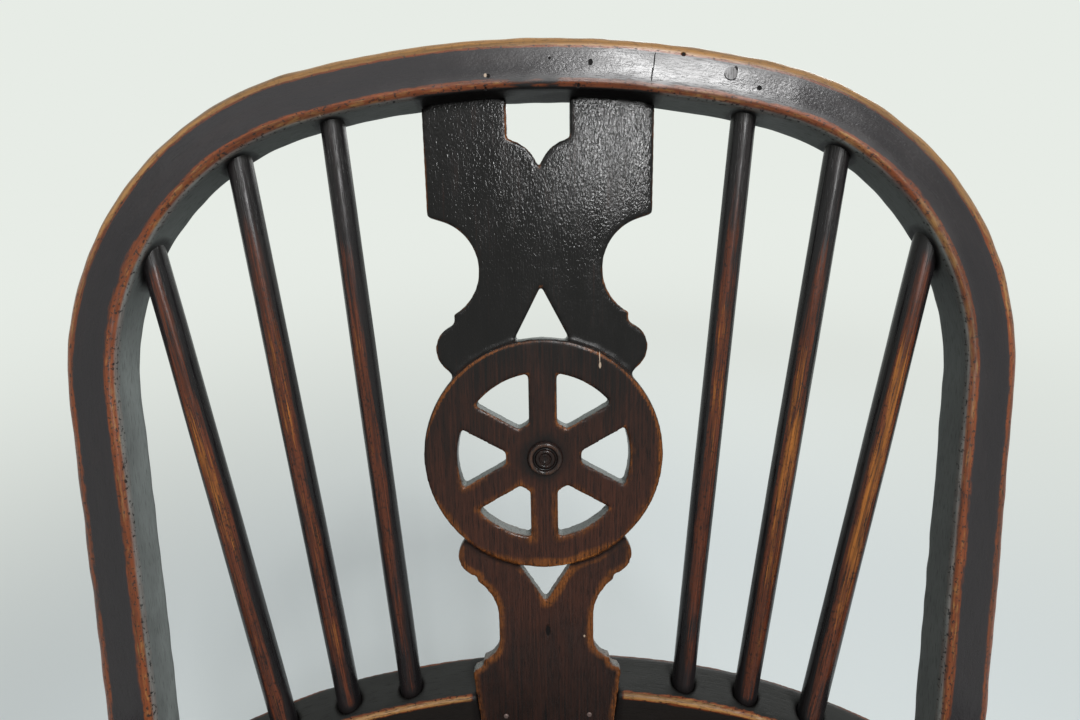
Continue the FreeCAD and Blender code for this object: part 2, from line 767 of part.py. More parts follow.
def foot_peg():
    """Peg from the arm bow's outer edge into the back bow's round tenon."""
    angle = ARM_BEND.angle_at(BOW_FOOT_X)
    side, drop = ARM_BEND.at(angle, ARM_WIDTH / 2 - 0.02)
    outer = arm_point(side, drop, ARM_TOP - ARM_THICK / 2)
    side, drop = ARM_BEND.at(angle, ARM_WIDTH / 2 - FOOT_PEG_LENGTH)
    inner = arm_point(side, drop, ARM_TOP - ARM_THICK / 2)
    return rod(outer, inner, FOOT_PEG_R)


def build():
    pieces = {}
    legs = {"front": (FRONT_SOCKET, FRONT_FOOT), "back": (BACK_SOCKET, BACK_FOOT)}
    for end, (socket, foot) in legs.items():
        pieces["leg_" + end + "_right"] = leg(socket, foot)
    front = leg_axis(FRONT_SOCKET, FRONT_FOOT, SIDE_STRETCHER_Z)
    back = leg_axis(BACK_SOCKET, BACK_FOOT, SIDE_STRETCHER_Z)
    pieces["stretcher_right"] = stretcher(front, back, 17.5, 17.5)
    middle = front.add(back).multiply(0.5)
    other = Vector(-middle.x, middle.y, middle.z)
    cross = stretcher(other, middle, 15.4, 15.4)

    support = arm_support()
    wedge = arm_wedge()
    support = support.cut(wedge)
    pieces["arm_support_right"] = support
    for number, (arm_x, bow_x) in enumerate(LONG_STICKS, 1):
        pieces["long_stick_right_%d" % number] = long_stick(arm_x, bow_x)
    for number, (seat_xy, arm_x) in enumerate(SHORT_STICKS, 1):
        pieces["short_stick_right_%d" % number] = short_stick(seat_xy, arm_x)

    whole_arm = arm_bow_whole()
    zone = hand_zone()
    pieces["hand_pad_right"] = whole_arm.common(zone)
    arm_bow = whole_arm.cut(zone).cut(mirrored(zone))

    right_names = list(pieces)
    for name in right_names:
        pieces[name.replace("right", "left")] = mirrored(pieces[name])

    board_piece = splat()
    boss = wheel_boss()
    nails = [splat_nail(-NAIL_X), splat_nail(NAIL_X)]
    peg = bow_peg()
    foot_pegs = both_sides_apart(foot_peg())
    back_bow = back_bow_blank()
    seat = seat_blank()

    for name, piece in pieces.items():
        if name.startswith("long_stick"):
            arm_bow = arm_bow.cut(piece)
            back_bow = back_bow.cut(piece)
            seat = seat.cut(piece)
        elif name.startswith(("short_stick", "arm_support")):
            arm_bow = arm_bow.cut(piece)
            seat = seat.cut(piece)
        elif name.startswith("leg"):
            seat = seat.cut(piece)
    for side in ("left", "right"):
        rail = pieces["stretcher_" + side]
        pieces["stretcher_" + side] = rail.cut(cross)
        for end in ("front", "back"):
            name = "leg_" + end + "_" + side
            pieces[name] = pieces[name].cut(rail)
    for both in (wedge, mirrored(wedge)):
        arm_bow = arm_bow.cut(both)
    board_piece = board_piece.cut(Part.makeCompound(nails))
    arm_bow = arm_bow.cut(board_piece).cut(Part.makeCompound(nails))
    seat = seat.cut(board_piece)
    back_bow = back_bow.cut(board_piece).cut(peg)
    arm_bow = arm_bow.cut(back_bow)
    for one in foot_pegs:
        arm_bow = arm_bow.cut(one)
        back_bow = back_bow.cut(one)

    pieces["seat"] = seat
    pieces["cross_stretcher"] = cross
    pieces["arm_bow"] = arm_bow
    pieces["back_bow"] = back_bow
    pieces["splat"] = board_piece
    pieces["wheel_boss"] = boss
    pieces["splat_nails"] = Part.makeCompound(nails)
    pieces["bow_peg"] = peg
    pieces["bow_foot_pegs"] = Part.makeCompound(foot_pegs)
    pieces["arm_wedges"] = Part.makeCompound([wedge, mirrored(wedge)])
    return pieces


def main():
    pieces = build()
    front = pieces["seat"].optimalBoundingBox(False, False).YMin
    back = pieces["back_bow"].optimalBoundingBox(False, False).YMax
    shift = Vector(0, -(front + back) / 2, 0)
    os.makedirs("parts", exist_ok=True)
    for name, shape in sorted(pieces.items()):
        shape.translate(shift)
        solids = shape.Solids
        print(name, len(solids), "valid" if shape.isValid() else "NOT VALID", round(shape.Volume))
        result = Part.makeCompound(solids) if name in GROUPED else solids[0]
        result.exportStep("parts/" + name + ".step")
    print("shift along Y", round(shift.y, 3))
    print("depth", round(back - front, 1))
    print("front foot", FRONT_FOOT[0], round(FRONT_FOOT[1] + shift.y, 3))
    print("back foot", BACK_FOOT[0], round(BACK_FOOT[1] + shift.y, 3))


main()
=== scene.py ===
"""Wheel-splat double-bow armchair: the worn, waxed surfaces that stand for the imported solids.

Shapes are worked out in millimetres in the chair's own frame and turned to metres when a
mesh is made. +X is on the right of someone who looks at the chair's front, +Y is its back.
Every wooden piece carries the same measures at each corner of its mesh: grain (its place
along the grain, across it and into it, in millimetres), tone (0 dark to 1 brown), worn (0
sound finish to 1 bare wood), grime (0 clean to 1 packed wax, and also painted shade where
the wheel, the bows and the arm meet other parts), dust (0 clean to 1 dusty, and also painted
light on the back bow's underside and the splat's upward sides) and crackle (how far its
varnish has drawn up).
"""

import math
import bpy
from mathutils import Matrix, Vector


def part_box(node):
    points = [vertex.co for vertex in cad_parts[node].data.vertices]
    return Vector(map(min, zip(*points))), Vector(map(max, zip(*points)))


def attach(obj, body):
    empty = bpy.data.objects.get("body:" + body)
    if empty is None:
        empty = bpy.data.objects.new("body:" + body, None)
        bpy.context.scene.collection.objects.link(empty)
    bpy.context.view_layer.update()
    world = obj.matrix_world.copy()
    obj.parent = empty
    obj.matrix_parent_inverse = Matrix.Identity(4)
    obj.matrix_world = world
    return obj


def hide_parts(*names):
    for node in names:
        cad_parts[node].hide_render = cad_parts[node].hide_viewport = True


bl_info = {
    "name": "Wheelback armchair",
    "version": (1, 0, 0),
    "blender": (4, 5, 0),
    "location": "3D View > Sidebar > Chair",
    "description": "Builds the worn surfaces of a wheel-splat armchair over its packed solids",
    "category": "Object",
}

import bmesh
import bpy
import numpy as np
from bpy.props import FloatProperty, FloatVectorProperty, PointerProperty
from mathutils import Matrix, Vector, kdtree, noise
from mathutils.bvhtree import BVHTree

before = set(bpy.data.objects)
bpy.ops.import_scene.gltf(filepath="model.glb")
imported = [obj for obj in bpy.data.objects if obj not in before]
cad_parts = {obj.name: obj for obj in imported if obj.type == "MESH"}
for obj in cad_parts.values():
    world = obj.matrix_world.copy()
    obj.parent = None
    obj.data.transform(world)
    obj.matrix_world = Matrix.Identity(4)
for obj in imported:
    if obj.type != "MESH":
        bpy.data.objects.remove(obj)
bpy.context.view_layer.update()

MM = 0.001

# Arm bow: two bends and a straight run, measured from its middle
ARM_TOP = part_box("arm_bow")[1].z / MM
ARM_THICK = 25.0
ARM_WIDTH = 27.4
ARM_BACK_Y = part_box("arm_bow")[1].y / MM - ARM_WIDTH / 2
ARM_BEND = (436.0, 13.5, 226.0, 84.0)

# Splat: a board that leans back, with its wheel in relief
SPLAT_FACE_Y = ARM_BACK_Y - 15.7
SPLAT_LEAN = math.radians(12.0)
SPLAT_WAY = np.array([0.0, -math.cos(SPLAT_LEAN), math.sin(SPLAT_LEAN)])
WHEEL_RISE = 147.6
WHEEL_R = 64.0
WHEEL_RELIEF = 2.6
BOSS_R = 9.2

# Back bow: bent in a plane that leans back from the arm bow
BOW_LEAN = math.radians(19.6)
BOW_RISE = 352.8
BOW_BEND = (458.0, 14.16, 134.0, 94.05)
BOW_WIDTH = 24.0
BOW_DEPTH = 19.0
BOW_OUTER_ARRIS = 5.0
BOW_ARRIS = 3.0
BOW_TENON_R = 8.5
BOW_FOOT_GAP = 7.0
BOW_STEP = 2.2
BOW_SECTION_STEP = 1.6

# Seat: its top, and the middle and half sizes of its saddle
SEAT_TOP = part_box("seat")[1].z / MM
SADDLE_MIDDLE_Y = -74.0
SADDLE_HALF_WIDTH = 215.0
SADDLE_HALF_DEPTH = 165.0

# Radii of the sticks and the arm supports where they enter other pieces
STICK_R = 6.3
SUPPORT_R = 12.4

# Sizes of the faces of the pieces that are worked over
ARM_CELL = 1.35
PAD_CELL = 1.2
SPLAT_CELL = 1.12
SEAT_CELL = 2.6

# Camera: its place from the chair's middle, the splat's face and the arm's top
CAMERA_SIDE = -1.5
CAMERA_OUT = 209.3
CAMERA_RISE = 295.9
CAMERA_YAW = math.radians(0.10)

# Lamps beside the key: name, power in watts, then size, place and aim in metres
LAMPS = (
    ("low_lamp", 11.0, (0.18, 0.24), (0.33, -1.4, 1.74), (0.04, 0.24, 0.95)),
    ("front_lamp", 7.0, (2.2, 1.4), (-0.7, -1.5, 2.7), (0.0, 0.2, 0.8)),
    ("back_lamp", 18.0, (1.4, 1.0), (0.9, 2.2, 1.6), (0.0, 0.1, 0.6)),
)


def colour(code):
    """Linear RGB of an sRGB hex code."""
    channels = [int(code[i:i + 2], 16) / 255 for i in (1, 3, 5)]
    return [c / 12.92 if c <= 0.04045 else ((c + 0.055) / 1.055) ** 2.4 for c in channels]


def paint(name, code, description):
    """A colour that the user may change."""
    return FloatVectorProperty(
        name=name, description=description, subtype="COLOR", size=3, min=0, max=1,
        default=colour(code))


class WoodLooks(bpy.types.PropertyGroup):
    """Colours of the old finish and of the wood where it has worn through."""

    bow_dark: paint("Bow wax", "#1f1c1f", "Dark wax on the back bow")
    bow_brown: paint("Bow stain", "#271f1f", "Brown stain that shows through the bow's wax")
    arm_dark: paint("Arm wax", "#171615", "Black wax on the arm bow")
    gold: paint("Bare ash", "#886338", "Ash rubbed bare and waxed, on the bows' edges")
    red: paint("Rubbed stain", "#6c3517", "Stain half rubbed away")
    splat_black: paint("Old varnish", "#121111", "Blackened varnish on the splat's top")
    splat_brown: paint("Fruitwood", "#3b2118", "Fruitwood under thin varnish on the wheel")
    splat_edge: paint("Splat's edges", "#6b3e1c", "Fruitwood half bare on the splat's edges")
    splat_bare: paint("Splat's corners", "#a8682f", "Fruitwood rubbed bare on its corners")
    stick_dark: paint("Stick wax", "#141214", "Dark wax on the sticks")
    stick_red: paint("Rubbed stick", "#532918", "Stain half rubbed away on the sticks")
    stick_gold: paint("Bare stick", "#8c5624", "Ash rubbed bare down the sticks' fronts")
    seat_dark: paint("Seat's edge", "#2c1c14", "Wax and dirt round the seat's edges")
    seat_brown: paint("Polished elm", "#6b4022", "Elm polished by use in the saddle")
    # Also the colour of the painted shade where the wheel, the bows and the arm meet other parts
    dirt_and_painted_shade: paint("Packed wax", "#0c0a0a", "Wax and dust packed into corners")
    # Also the colour of the painted light on the back bow's underside and the splat's upward
    # sides
    dust_and_painted_light: paint("Dust", "#7d8482", "Dust in the wax on edges that no cloth reaches")
    chip: paint("Chips", "#a99784", "Small chips in the finish that show pale wood")
    iron: paint("Rubbed iron", "#7d6f6c", "Nail heads rubbed dull")
    rust: paint("Rust", "#4a3630", "Brown in the pits of the nail heads")


class ToolMarks(bpy.types.PropertyGroup):
    """How uneven the hand work is."""

    bow_wander: FloatProperty(
        name="Bow wander", description="How far the back bow's faces wander, in millimetres",
        default=0.35, min=0, max=1)
    stick_facets: FloatProperty(
        name="Stick facets", description="How deep the shave left its flats, in millimetres",
        default=0.16, min=0, max=0.6)
    crackle_depth: FloatProperty(
        name="Crackle depth", description="Height of the drawn-up varnish, in millimetres",
        default=0.042, min=0, max=0.5)


class StageSettings(bpy.types.PropertyGroup):
    """Camera, lamps and floor."""

    lens: FloatProperty(
        name="Lens", description="Focal length on a 36 mm wide sensor", default=17.3,
        min=5, max=200, unit="CAMERA")
    pitch: FloatProperty(
        name="Pitch", description="How far the camera looks down", subtype="ANGLE",
        default=math.radians(21.76))
    roll: FloatProperty(
        name="Roll", description="How far the camera leans to its left", subtype="ANGLE",
        default=math.radians(0.95))
    floor: paint("Floor", "#dde5e5", "Matt painted floor, as it is seen")
    shade: paint("Floor's light", "#8f9190", "The floor as it lights the chair")
    air: paint("Background", "#e7ece6", "Pale background")
    key: FloatProperty(
        name="Key lamp", description="Power of the large lamp over the front, on the right",
        default=36.0, min=0, unit="POWER")
    room: FloatProperty(
        name="Room light", description="Strength of the even light from all round",
        default=0.25, min=0)


def linked(obj):
    bpy.context.scene.collection.objects.link(obj)
    return obj


def read_points(mesh):
    points = np.zeros(len(mesh.vertices) * 3)
    mesh.vertices.foreach_get("co", points)
    return points.reshape(-1, 3) / MM


def read_normals(mesh):
    normals = np.zeros(len(mesh.vertices) * 3, np.float32)
    mesh.vertex_normals.foreach_get("vector", normals)
    return normals.reshape(-1, 3).astype(float)


def write_points(mesh, points):
    mesh.vertices.foreach_set("co", (points * MM).astype(np.float32).ravel())
    mesh.update()


def measure(mesh, grain, tone=0.0, worn=0.0, grime_and_painted_shade=0.0, dust_and_painted_light=0.0, crackle=0.0):
    """Stores the measures of each corner for the materials. Packed wax and painted shade hide
    what is worn.
    """
    layer = mesh.attributes.new("grain", "FLOAT_VECTOR", "POINT")
    layer.data.foreach_set("vector", grain.astype(np.float32).ravel())
    grime_and_painted_shade = np.clip(grime_and_painted_shade, 0, 1)
    found = {"tone": tone, "worn": np.clip(worn, 0, 1) * (1 - grime_and_painted_shade), "grime_and_painted_shade": grime_and_painted_shade,
             "dust_and_painted_light": dust_and_painted_light * (1 - grime_and_painted_shade), "crackle": crackle}
    for name, values in found.items():
        layer = mesh.attributes.new(name, "FLOAT", "POINT")
        values = np.broadcast_to(values, len(mesh.vertices))
        layer.data.foreach_set("value", values.astype(np.float32))


def ripple(points, size, seed=0.0):
    """Smooth noise from about -1 to 1 at points in millimetres, in waves of that size."""
    places = points / np.asarray(size, float) + seed
    return np.array([noise.noise(Vector(place)) for place in places])


def fade(values, start, end):
    """Smooth step from 0 at start to 1 at end."""
    t = np.clip((values - start) / (end - start), 0, 1)
    return t * t * (3 - 2 * t)


def tube(name, rings):
    """Closed mesh through rings of points, (rings, sides, 3) in millimetres."""
    count, sides = rings.shape[:2]
    index = np.arange(count * sides).reshape(count, sides)
    here, there = index[:-1], index[1:]
    quads = np.stack([here, np.roll(here, -1, 1), np.roll(there, -1, 1), there], -1)
    faces = quads.reshape(-1, 4).tolist() + [index[0][::-1].tolist(), index[-1].tolist()]
    mesh = bpy.data.meshes.new(name)
    mesh.from_pydata((rings.reshape(-1, 3) * MM).tolist(), [], faces)
    smooth = [True] * (len(faces) - 2) + [False, False]
    mesh.polygons.foreach_set("use_smooth", smooth)
    face_outward(mesh)
    return linked(bpy.data.objects.new(name, mesh))


def face_outward(mesh):
    """Turns all faces over if the mesh is inside out."""
    work = bmesh.new()
    work.from_mesh(mesh)
    if work.calc_volume(signed=True) < 0:
        bmesh.ops.reverse_faces(work, faces=work.faces)
        work.to_mesh(mesh)
    work.free()
    mesh.update()


def worked_copy(node, name, cell, passes):
    """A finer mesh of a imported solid, its corners eased as a scraper leaves them.

    cell is the size of its faces in millimetres, and passes is how often it is smoothed.
    """
    obj = plain_copy(node, name)
    even = obj.modifiers.new("even", "REMESH")
    even.mode = "VOXEL"
    even.voxel_size = cell * MM
    ease = obj.modifiers.new("ease", "SMOOTH")
    ease.factor = 0.5
    ease.iterations = passes
    graph = bpy.context.evaluated_depsgraph_get()
    mesh = bpy.data.meshes.new_from_object(obj.evaluated_get(graph))
    obj.modifiers.clear()
    obj.data = mesh
    mesh.polygons.foreach_set("use_smooth", [True] * len(mesh.polygons))
    return obj


def plain_copy(node, name):
    """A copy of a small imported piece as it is, for measures of its own."""
    return linked(bpy.data.objects.new(name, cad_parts[node].data.copy()))


def neighbour_mean(mesh, values):
    """For each corner, the mean of a measure at the corners that share an edge with it."""
    edges = np.zeros(len(mesh.edges) * 2, int)
    mesh.edges.foreach_get("vertices", edges)
    a, b = edges.reshape(-1, 2).T
    total = np.zeros_like(values)
    np.add.at(total, a, values[b])
    np.add.at(total, b, values[a])
    count = np.bincount(edges, minlength=len(values)).astype(float)
    return total / (count if values.ndim == 1 else count[:, None])


def standing_out(mesh, cell, passes):
    """How far each corner stands out from those round it, about 1 on a square edge."""
    points = read_points(mesh)
    out = ((points - neighbour_mean(mesh, points)) * read_normals(mesh)).sum(1) / cell
    for _ in range(passes):
        out = (out + neighbour_mean(mesh, out)) / 2
    return out * math.sqrt(passes + 1)


def finish_piece(obj, material, slot, *nodes):
    """Gives a piece its material, its body and the solids that it stands for."""
    obj.data.materials.clear()
    obj.data.materials.append(material)
    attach(obj, "root")
    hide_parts(*nodes)


class Bend:
    """Half of a bow's centre line: a flat crown arc, a tighter shoulder arc and a straight run.

    Side is the distance from the bow's middle, and drop how far it has fallen from its crown.
    """

    def __init__(self, crown_r, crown_angle, shoulder_r, end_angle):
        self.crown_r = crown_r
        self.crown = math.radians(crown_angle)
        self.shoulder_r = shoulder_r
        self.end = math.radians(end_angle)
        self.crown_length = crown_r * self.crown
        self.shoulder_length = shoulder_r * (self.end - self.crown)
        self.centre_side = (crown_r - shoulder_r) * math.sin(self.crown)
        self.centre_drop = crown_r - (crown_r - shoulder_r) * math.cos(self.crown)

    def place(self, along):
        """Side, drop and angle turned, at distances along the centre line from its middle."""
        far = np.abs(along)
        on_crown = np.minimum(far / self.crown_r, self.crown)
        past = far - self.crown_length
        angle = self.crown + np.clip(past / self.shoulder_r, 0, self.end - self.crown)
        run = np.maximum(0, past - self.shoulder_length)
        side = self.crown_r * np.sin(on_crown) + run * math.cos(self.end)
        side = side + self.shoulder_r * (np.sin(angle) - math.sin(self.crown))
        drop = self.crown_r * (1 - np.cos(on_crown)) + run * math.sin(self.end)
        drop = drop + self.shoulder_r * (math.cos(self.crown) - np.cos(angle))
        turned = np.where(past > 0, angle, on_crown)
        return np.sign(along) * side, drop, np.sign(along) * turned

    def find(self, side, drop):
        """Distance along the centre line and out from it, for places beside it."""
        near = np.abs(side)
        crown_angle = np.arctan2(near, self.crown_r - drop)
        shoulder_angle = np.arctan2(near - self.centre_side, self.centre_drop - drop)
        side_end, drop_end, _ = self.place(self.crown_length + self.shoulder_length)
        right, down = near - side_end, drop - drop_end
        run = right * math.cos(self.end) + down * math.sin(self.end)
        crowned = (crown_angle <= self.crown) & (drop < self.crown_r)
        shouldered = (shoulder_angle >= self.crown) & (shoulder_angle <= self.end)
        choices = [crowned, shouldered]
        shoulder_along = self.crown_length + self.shoulder_r * (shoulder_angle - self.crown)
        along = np.select(choices, [self.crown_r * crown_angle, shoulder_along],
                          self.crown_length + self.shoulder_length + run)
        shoulder_out = np.hypot(near - self.centre_side, self.centre_drop - drop)
        out = np.select(choices, [
            np.hypot(near, self.crown_r - drop) - self.crown_r,
            shoulder_out - self.shoulder_r,
        ], right * math.sin(self.end) - down * math.cos(self.end))
        return np.sign(side) * along, out


ARM = Bend(*ARM_BEND)
BOW = Bend(*BOW_BEND)


def from_plane(base_y, lean, side, rise, depth):
    """Points of a leaning plane: across it, up it from the arm's top, and in from its face."""
    y = base_y + depth * math.cos(lean) + rise * math.sin(lean)
    z = ARM_TOP + rise * math.cos(lean) - depth * math.sin(lean)
    return np.stack(np.broadcast_arrays(side, y, z), -1)


def to_plane(base_y, lean, points):
    """Side, rise and depth of points in a leaning plane."""
    y, z = points[:, 1] - base_y, points[:, 2] - ARM_TOP
    rise = y * math.sin(lean) + z * math.cos(lean)
    depth = y * math.cos(lean) - z * math.sin(lean)
    return points[:, 0], rise, depth


def put(tree, kind, links=None, **settings):
    """Adds a node with its settings, links and values, and gives its first socket in use."""
    node = tree.nodes.new("ShaderNode" + kind)
    for key, value in settings.items():
        setattr(node, key, value)
    for socket, source in (links or {}).items():
        if isinstance(source, bpy.types.NodeSocket):
            tree.links.new(source, node.inputs[socket])
        else:
            node.inputs[socket].default_value = source
    return next((output for output in node.outputs if output.enabled), None)


def fresh_tree(owner):
    """The empty node tree of a new material or world."""
    owner.use_nodes = True
    owner.node_tree.nodes.clear()
    return owner.node_tree


def shows_background(tree):
    """1 where the camera sees a thing straight, in gloss or through glass, and 0 for light."""
    path = put(tree, "LightPath").node.outputs
    seen = path["Is Camera Ray"]
    for kind in ("Is Glossy Ray", "Is Transmission Ray"):
        seen = put(tree, "Math", {0: seen, 1: path[kind]}, operation="MAXIMUM")
    return seen


def streaks(tree, grain, length, width, detail=3.0):
    """A pattern drawn out along the grain, its marks of that length and width in millimetres."""
    scaled = put(tree, "VectorMath", {0: grain, 1: (1 / length, 1 / width, 1 / width)},
                 operation="MULTIPLY")
    return put(tree, "TexNoise", {
        "Vector": scaled, "Scale": 1.0, "Detail": detail, "Roughness": 0.55})


def marks(tree, grain, places):
    """1 inside each mark and 0 outside: its place and its half sizes, in millimetres."""
    found = 0.0
    for place, size in places:
        off = put(tree, "VectorMath", {0: grain, 1: place}, operation="SUBTRACT")
        scaled = put(tree, "VectorMath", {0: off, 1: [1 / s for s in size]},
                     operation="MULTIPLY")
        far = put(tree, "VectorMath", {0: scaled}, operation="LENGTH")
        inside = put(tree, "MapRange", {0: far, 1: 1.25, 2: 0.75})
        found = put(tree, "Math", {0: inside, 1: found}, operation="MAXIMUM")
    return found


def full(rgb):
    return (*rgb, 1.0)


def aged_wood(name, dark, brown, red, gold, rough=0.36, gloss=0.28, rings=(110.0, 2.4),
              ring_tone=0.5, ring_height=0.05, fibre=(16.0, 0.5), pores=0.6, fray=(6.0, 1.6),
              ragged=3.6, specks=0.9, crackle=0.0, pits=(), flecks=()):
    """Stained and waxed wood that has worn in steps, from dark wax to red stain to bare wood.

    rings, fibre and fray are the length and width, in millimetres, of the growth rings, of
    the open pores and of the tatters at the border of what is worn. pores and specks are how
    dark the pores are, and the specks of old wax that stay in half worn wood. ragged is how
    far the tatters reach, gloss the specular level of the finish, and crackle the height of
    its drawn-up varnish in millimetres.
    """
    looks = bpy.context.scene.wheelback_wood
    material = bpy.data.materials.new(name)
    tree = fresh_tree(material)
    grain = put(tree, "Attribute", attribute_name="grain").node.outputs["Vector"]
    tone, wear, grime_and_painted_shade, dust_and_painted_light, drawn_up = (
        put(tree, "Attribute", attribute_name=key).node.outputs["Fac"]
        for key in ("tone", "worn", "grime_and_painted_shade", "dust_and_painted_light", "crackle"))
    ring = streaks(tree, grain, *rings)
    pore = streaks(tree, grain, *fibre, detail=2.0)
    cloud = streaks(tree, grain, 34.0, 11.0, detail=4.0)
    fleck = streaks(tree, grain, *fray)
    speck = streaks(tree, grain, 1.7, 1.2, detail=2.0)
    holes = marks(tree, grain, pits)
    tatter, patchy = (put(tree, "Math", {0: shape, 1: 0.5}, operation="SUBTRACT")
                      for shape in (fleck, cloud))

    # The stain is deeper in the soft early wood and thinner where the wax has clouded
    for shape, amount in ((ring, ring_tone), (cloud, 0.7)):
        tone = put(tree, "Math", {0: shape, 1: amount, 2: tone}, operation="MULTIPLY_ADD")
    low = 0.45 + 0.5 * ring_tone
    tone = put(tree, "MapRange", {0: tone, 1: low, 2: low + 0.9})
    shade = put(tree, "MapRange", {0: ring, 1: 0.36, 2: 0.64, 3: 0.5, 4: 1.25})
    brown_lines, red_lines, gold_lines = (
        put(tree, "Mix", {0: strength, 6: full(tint), 7: shade}, data_type="RGBA",
            blend_type="MULTIPLY")
        for tint, strength in ((brown, 0.45), (red, 0.9), (gold, 0.9)))
    open_pore = put(tree, "MapRange", {0: pore, 1: 0.45, 2: 0.36})

    # Wear eats in from the edges in tatters, so its border is never a line
    uneven = put(tree, "Math", {0: patchy, 1: 0.8, 2: tatter}, operation="MULTIPLY_ADD")
    sound = put(tree, "Math", {0: 1.1, 1: wear}, operation="SUBTRACT")
    edge = wear
    for factor in (sound, ragged):
        edge = put(tree, "Math", {0: edge, 1: factor}, operation="MULTIPLY")
    worn = put(tree, "Math", {0: edge, 1: uneven, 2: wear}, operation="MULTIPLY_ADD")
    half, bare = (
        put(tree, "MapRange", {0: worn, 1: least, 2: most}, interpolation_type="SMOOTHSTEP")
        for least, most in ((0.14, 0.46), (0.58, 0.92)))

    # Dust lies where no cloth reaches, and wax and dirt in pores, specks and corners. The dust
    # layer also paints light on some undersides and sides, and the packed wax paints shade where
    # parts meet
    # Dust, and painted light where the dust measure marks it
    settled_dust_and_light = put(tree, "Math", {0: patchy, 1: 1.2, 2: 0.9}, operation="MULTIPLY_ADD")
    settled_dust_and_light = put(tree, "Math", {0: settled_dust_and_light, 1: dust_and_painted_light}, operation="MULTIPLY", use_clamp=True)
    spot = put(tree, "MapRange", {0: speck, 1: 0.57, 2: 0.65, 4: specks})
    stained = put(tree, "Math", {0: bare, 1: -0.7, 2: half}, operation="MULTIPLY_ADD")
    spot = put(tree, "Math", {0: spot, 1: stained}, operation="MULTIPLY")
    dirt_and_shade_amount = put(tree, "Math", {0: open_pore, 1: pores, 2: spot}, operation="MULTIPLY_ADD")
    # Packed wax, and painted shade where the grime measure marks it
    packed_wax_and_shade = put(tree, "Math", {0: uneven, 1: grime_and_painted_shade, 2: grime_and_painted_shade}, operation="MULTIPLY_ADD")
    for amount in (packed_wax_and_shade, holes):
        dirt_and_shade_amount = put(tree, "Math", {0: dirt_and_shade_amount, 1: amount}, operation="MAXIMUM", use_clamp=True)

    # Each layer lies over the ones before it, from the dark wax up
    layers = [(tone, brown_lines), (half, red_lines), (bare, gold_lines),
              (settled_dust_and_light, full(looks.dust_and_painted_light)), (dirt_and_shade_amount, full(looks.dirt_and_painted_shade))]
    if flecks:
        layers.append((marks(tree, grain, flecks), full(looks.chip)))
    base = full(dark)
    for amount, layer in layers:
        base = put(tree, "Mix", {0: amount, 6: base, 7: layer}, data_type="RGBA")

    # Heights are in millimetres: sunk pores, raised late wood, and wax that has pooled
    height = 0.0
    for shape, tall in ((open_pore, -0.05 * pores), (ring, ring_height), (fleck, 0.035),
                        (cloud, 0.14), (holes, -0.5)):
        height = put(tree, "Math", {0: shape, 1: tall, 2: height}, operation="MULTIPLY_ADD")

    # Wax is smoother where hands polish it and duller in pits and where dust and dirt lie, and
    # also where light and shade are painted with them
    duller = [(dirt_and_shade_amount, 0.16), (holes, 0.6), (settled_dust_and_light, 0.35)]
    if crackle:
        # Old spirit varnish fills the grain and draws up into worms and beads with thin
        # valleys between them
        bare_grain = put(tree, "Math", {0: 1.0, 1: drawn_up}, operation="SUBTRACT")
        ground = put(tree, "Math", {0: bare_grain, 1: holes}, operation="ADD", use_clamp=True)
        height = put(tree, "Math", {0: height, 1: ground}, operation="MULTIPLY")
        worms = streaks(tree, grain, 4.2, 2.6, detail=2.0)
        worms = put(tree, "Math", {0: worms, 1: 0.5}, operation="SUBTRACT")
        worms = put(tree, "Math", {0: worms}, operation="ABSOLUTE")
        worms = put(tree, "MapRange", {0: worms, 1: 0.0, 2: 0.12},
                    interpolation_type="SMOOTHSTEP")
        beads = streaks(tree, grain, 1.35, 1.1, detail=2.0)
        drawn = put(tree, "Math", {0: beads, 1: 2.9, 2: worms}, operation="MULTIPLY_ADD")
        drawn = put(tree, "Math", {0: drawn, 1: drawn_up}, operation="MULTIPLY")
        height = put(tree, "Math", {0: drawn, 1: crackle, 2: height}, operation="MULTIPLY_ADD")
        duller.append((bare_grain, 0.14))
    bump = put(tree, "Bump", {"Height": height, "Distance": MM, "Strength": 1.0})
    dull = put(tree, "MapRange", {0: cloud, 1: 0.3, 2: 0.7, 3: rough - 0.06, 4: rough + 0.08})
    for amount, strength in duller:
        dull = put(tree, "Math", {0: amount, 1: strength, 2: dull}, operation="MULTIPLY_ADD",
                   use_clamp=True)
    shader = put(tree, "BsdfPrincipled", {
        "Base Color": base, "Roughness": dull, "Normal": bump, "IOR": 1.5,
        "Specular IOR Level": gloss})
    put(tree, "OutputMaterial", {"Surface": shader})
    return material


def joint_grime(points, reach):
    """Wax packed round the places where sticks and turned pieces enter, within that reach."""
    grime_and_painted_shade = np.zeros(len(points))
    for start, end, radius in AXES:
        length = np.linalg.norm(end - start)
        way = (end - start) / length
        along = np.clip((points - start) @ way, 0, length)
        off = np.linalg.norm(points - start - along[:, None] * way, axis=1) - radius
        grime_and_painted_shade = np.maximum(grime_and_painted_shade, 1 - fade(off, 0.0, reach))
    return grime_and_painted_shade


def axis_of(node):
    """Ends of a turned piece's axis in millimetres, from the middles of its end faces.

    A foot that is cut off level has its end face on the floor, and an arm support's top
    lies in the arm's top.
    """
    points = read_points(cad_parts[node].data)
    middle = points.mean(0)
    way = np.linalg.svd(points - middle, full_matrices=False)[2][0]
    if way[2] < 0:
        way = -way
    ends = []
    along = (points - middle) @ way
    for flat, z in ((along.min(), 0.0), (along.max(), ARM_TOP)):
        face = points[np.abs(points[:, 2] - z) < 0.01]
        if len(face) < 8:
            face = points[np.abs(along - flat) < 0.4]
        ends.append((face.min(0) + face.max(0)) / 2)
    return ends


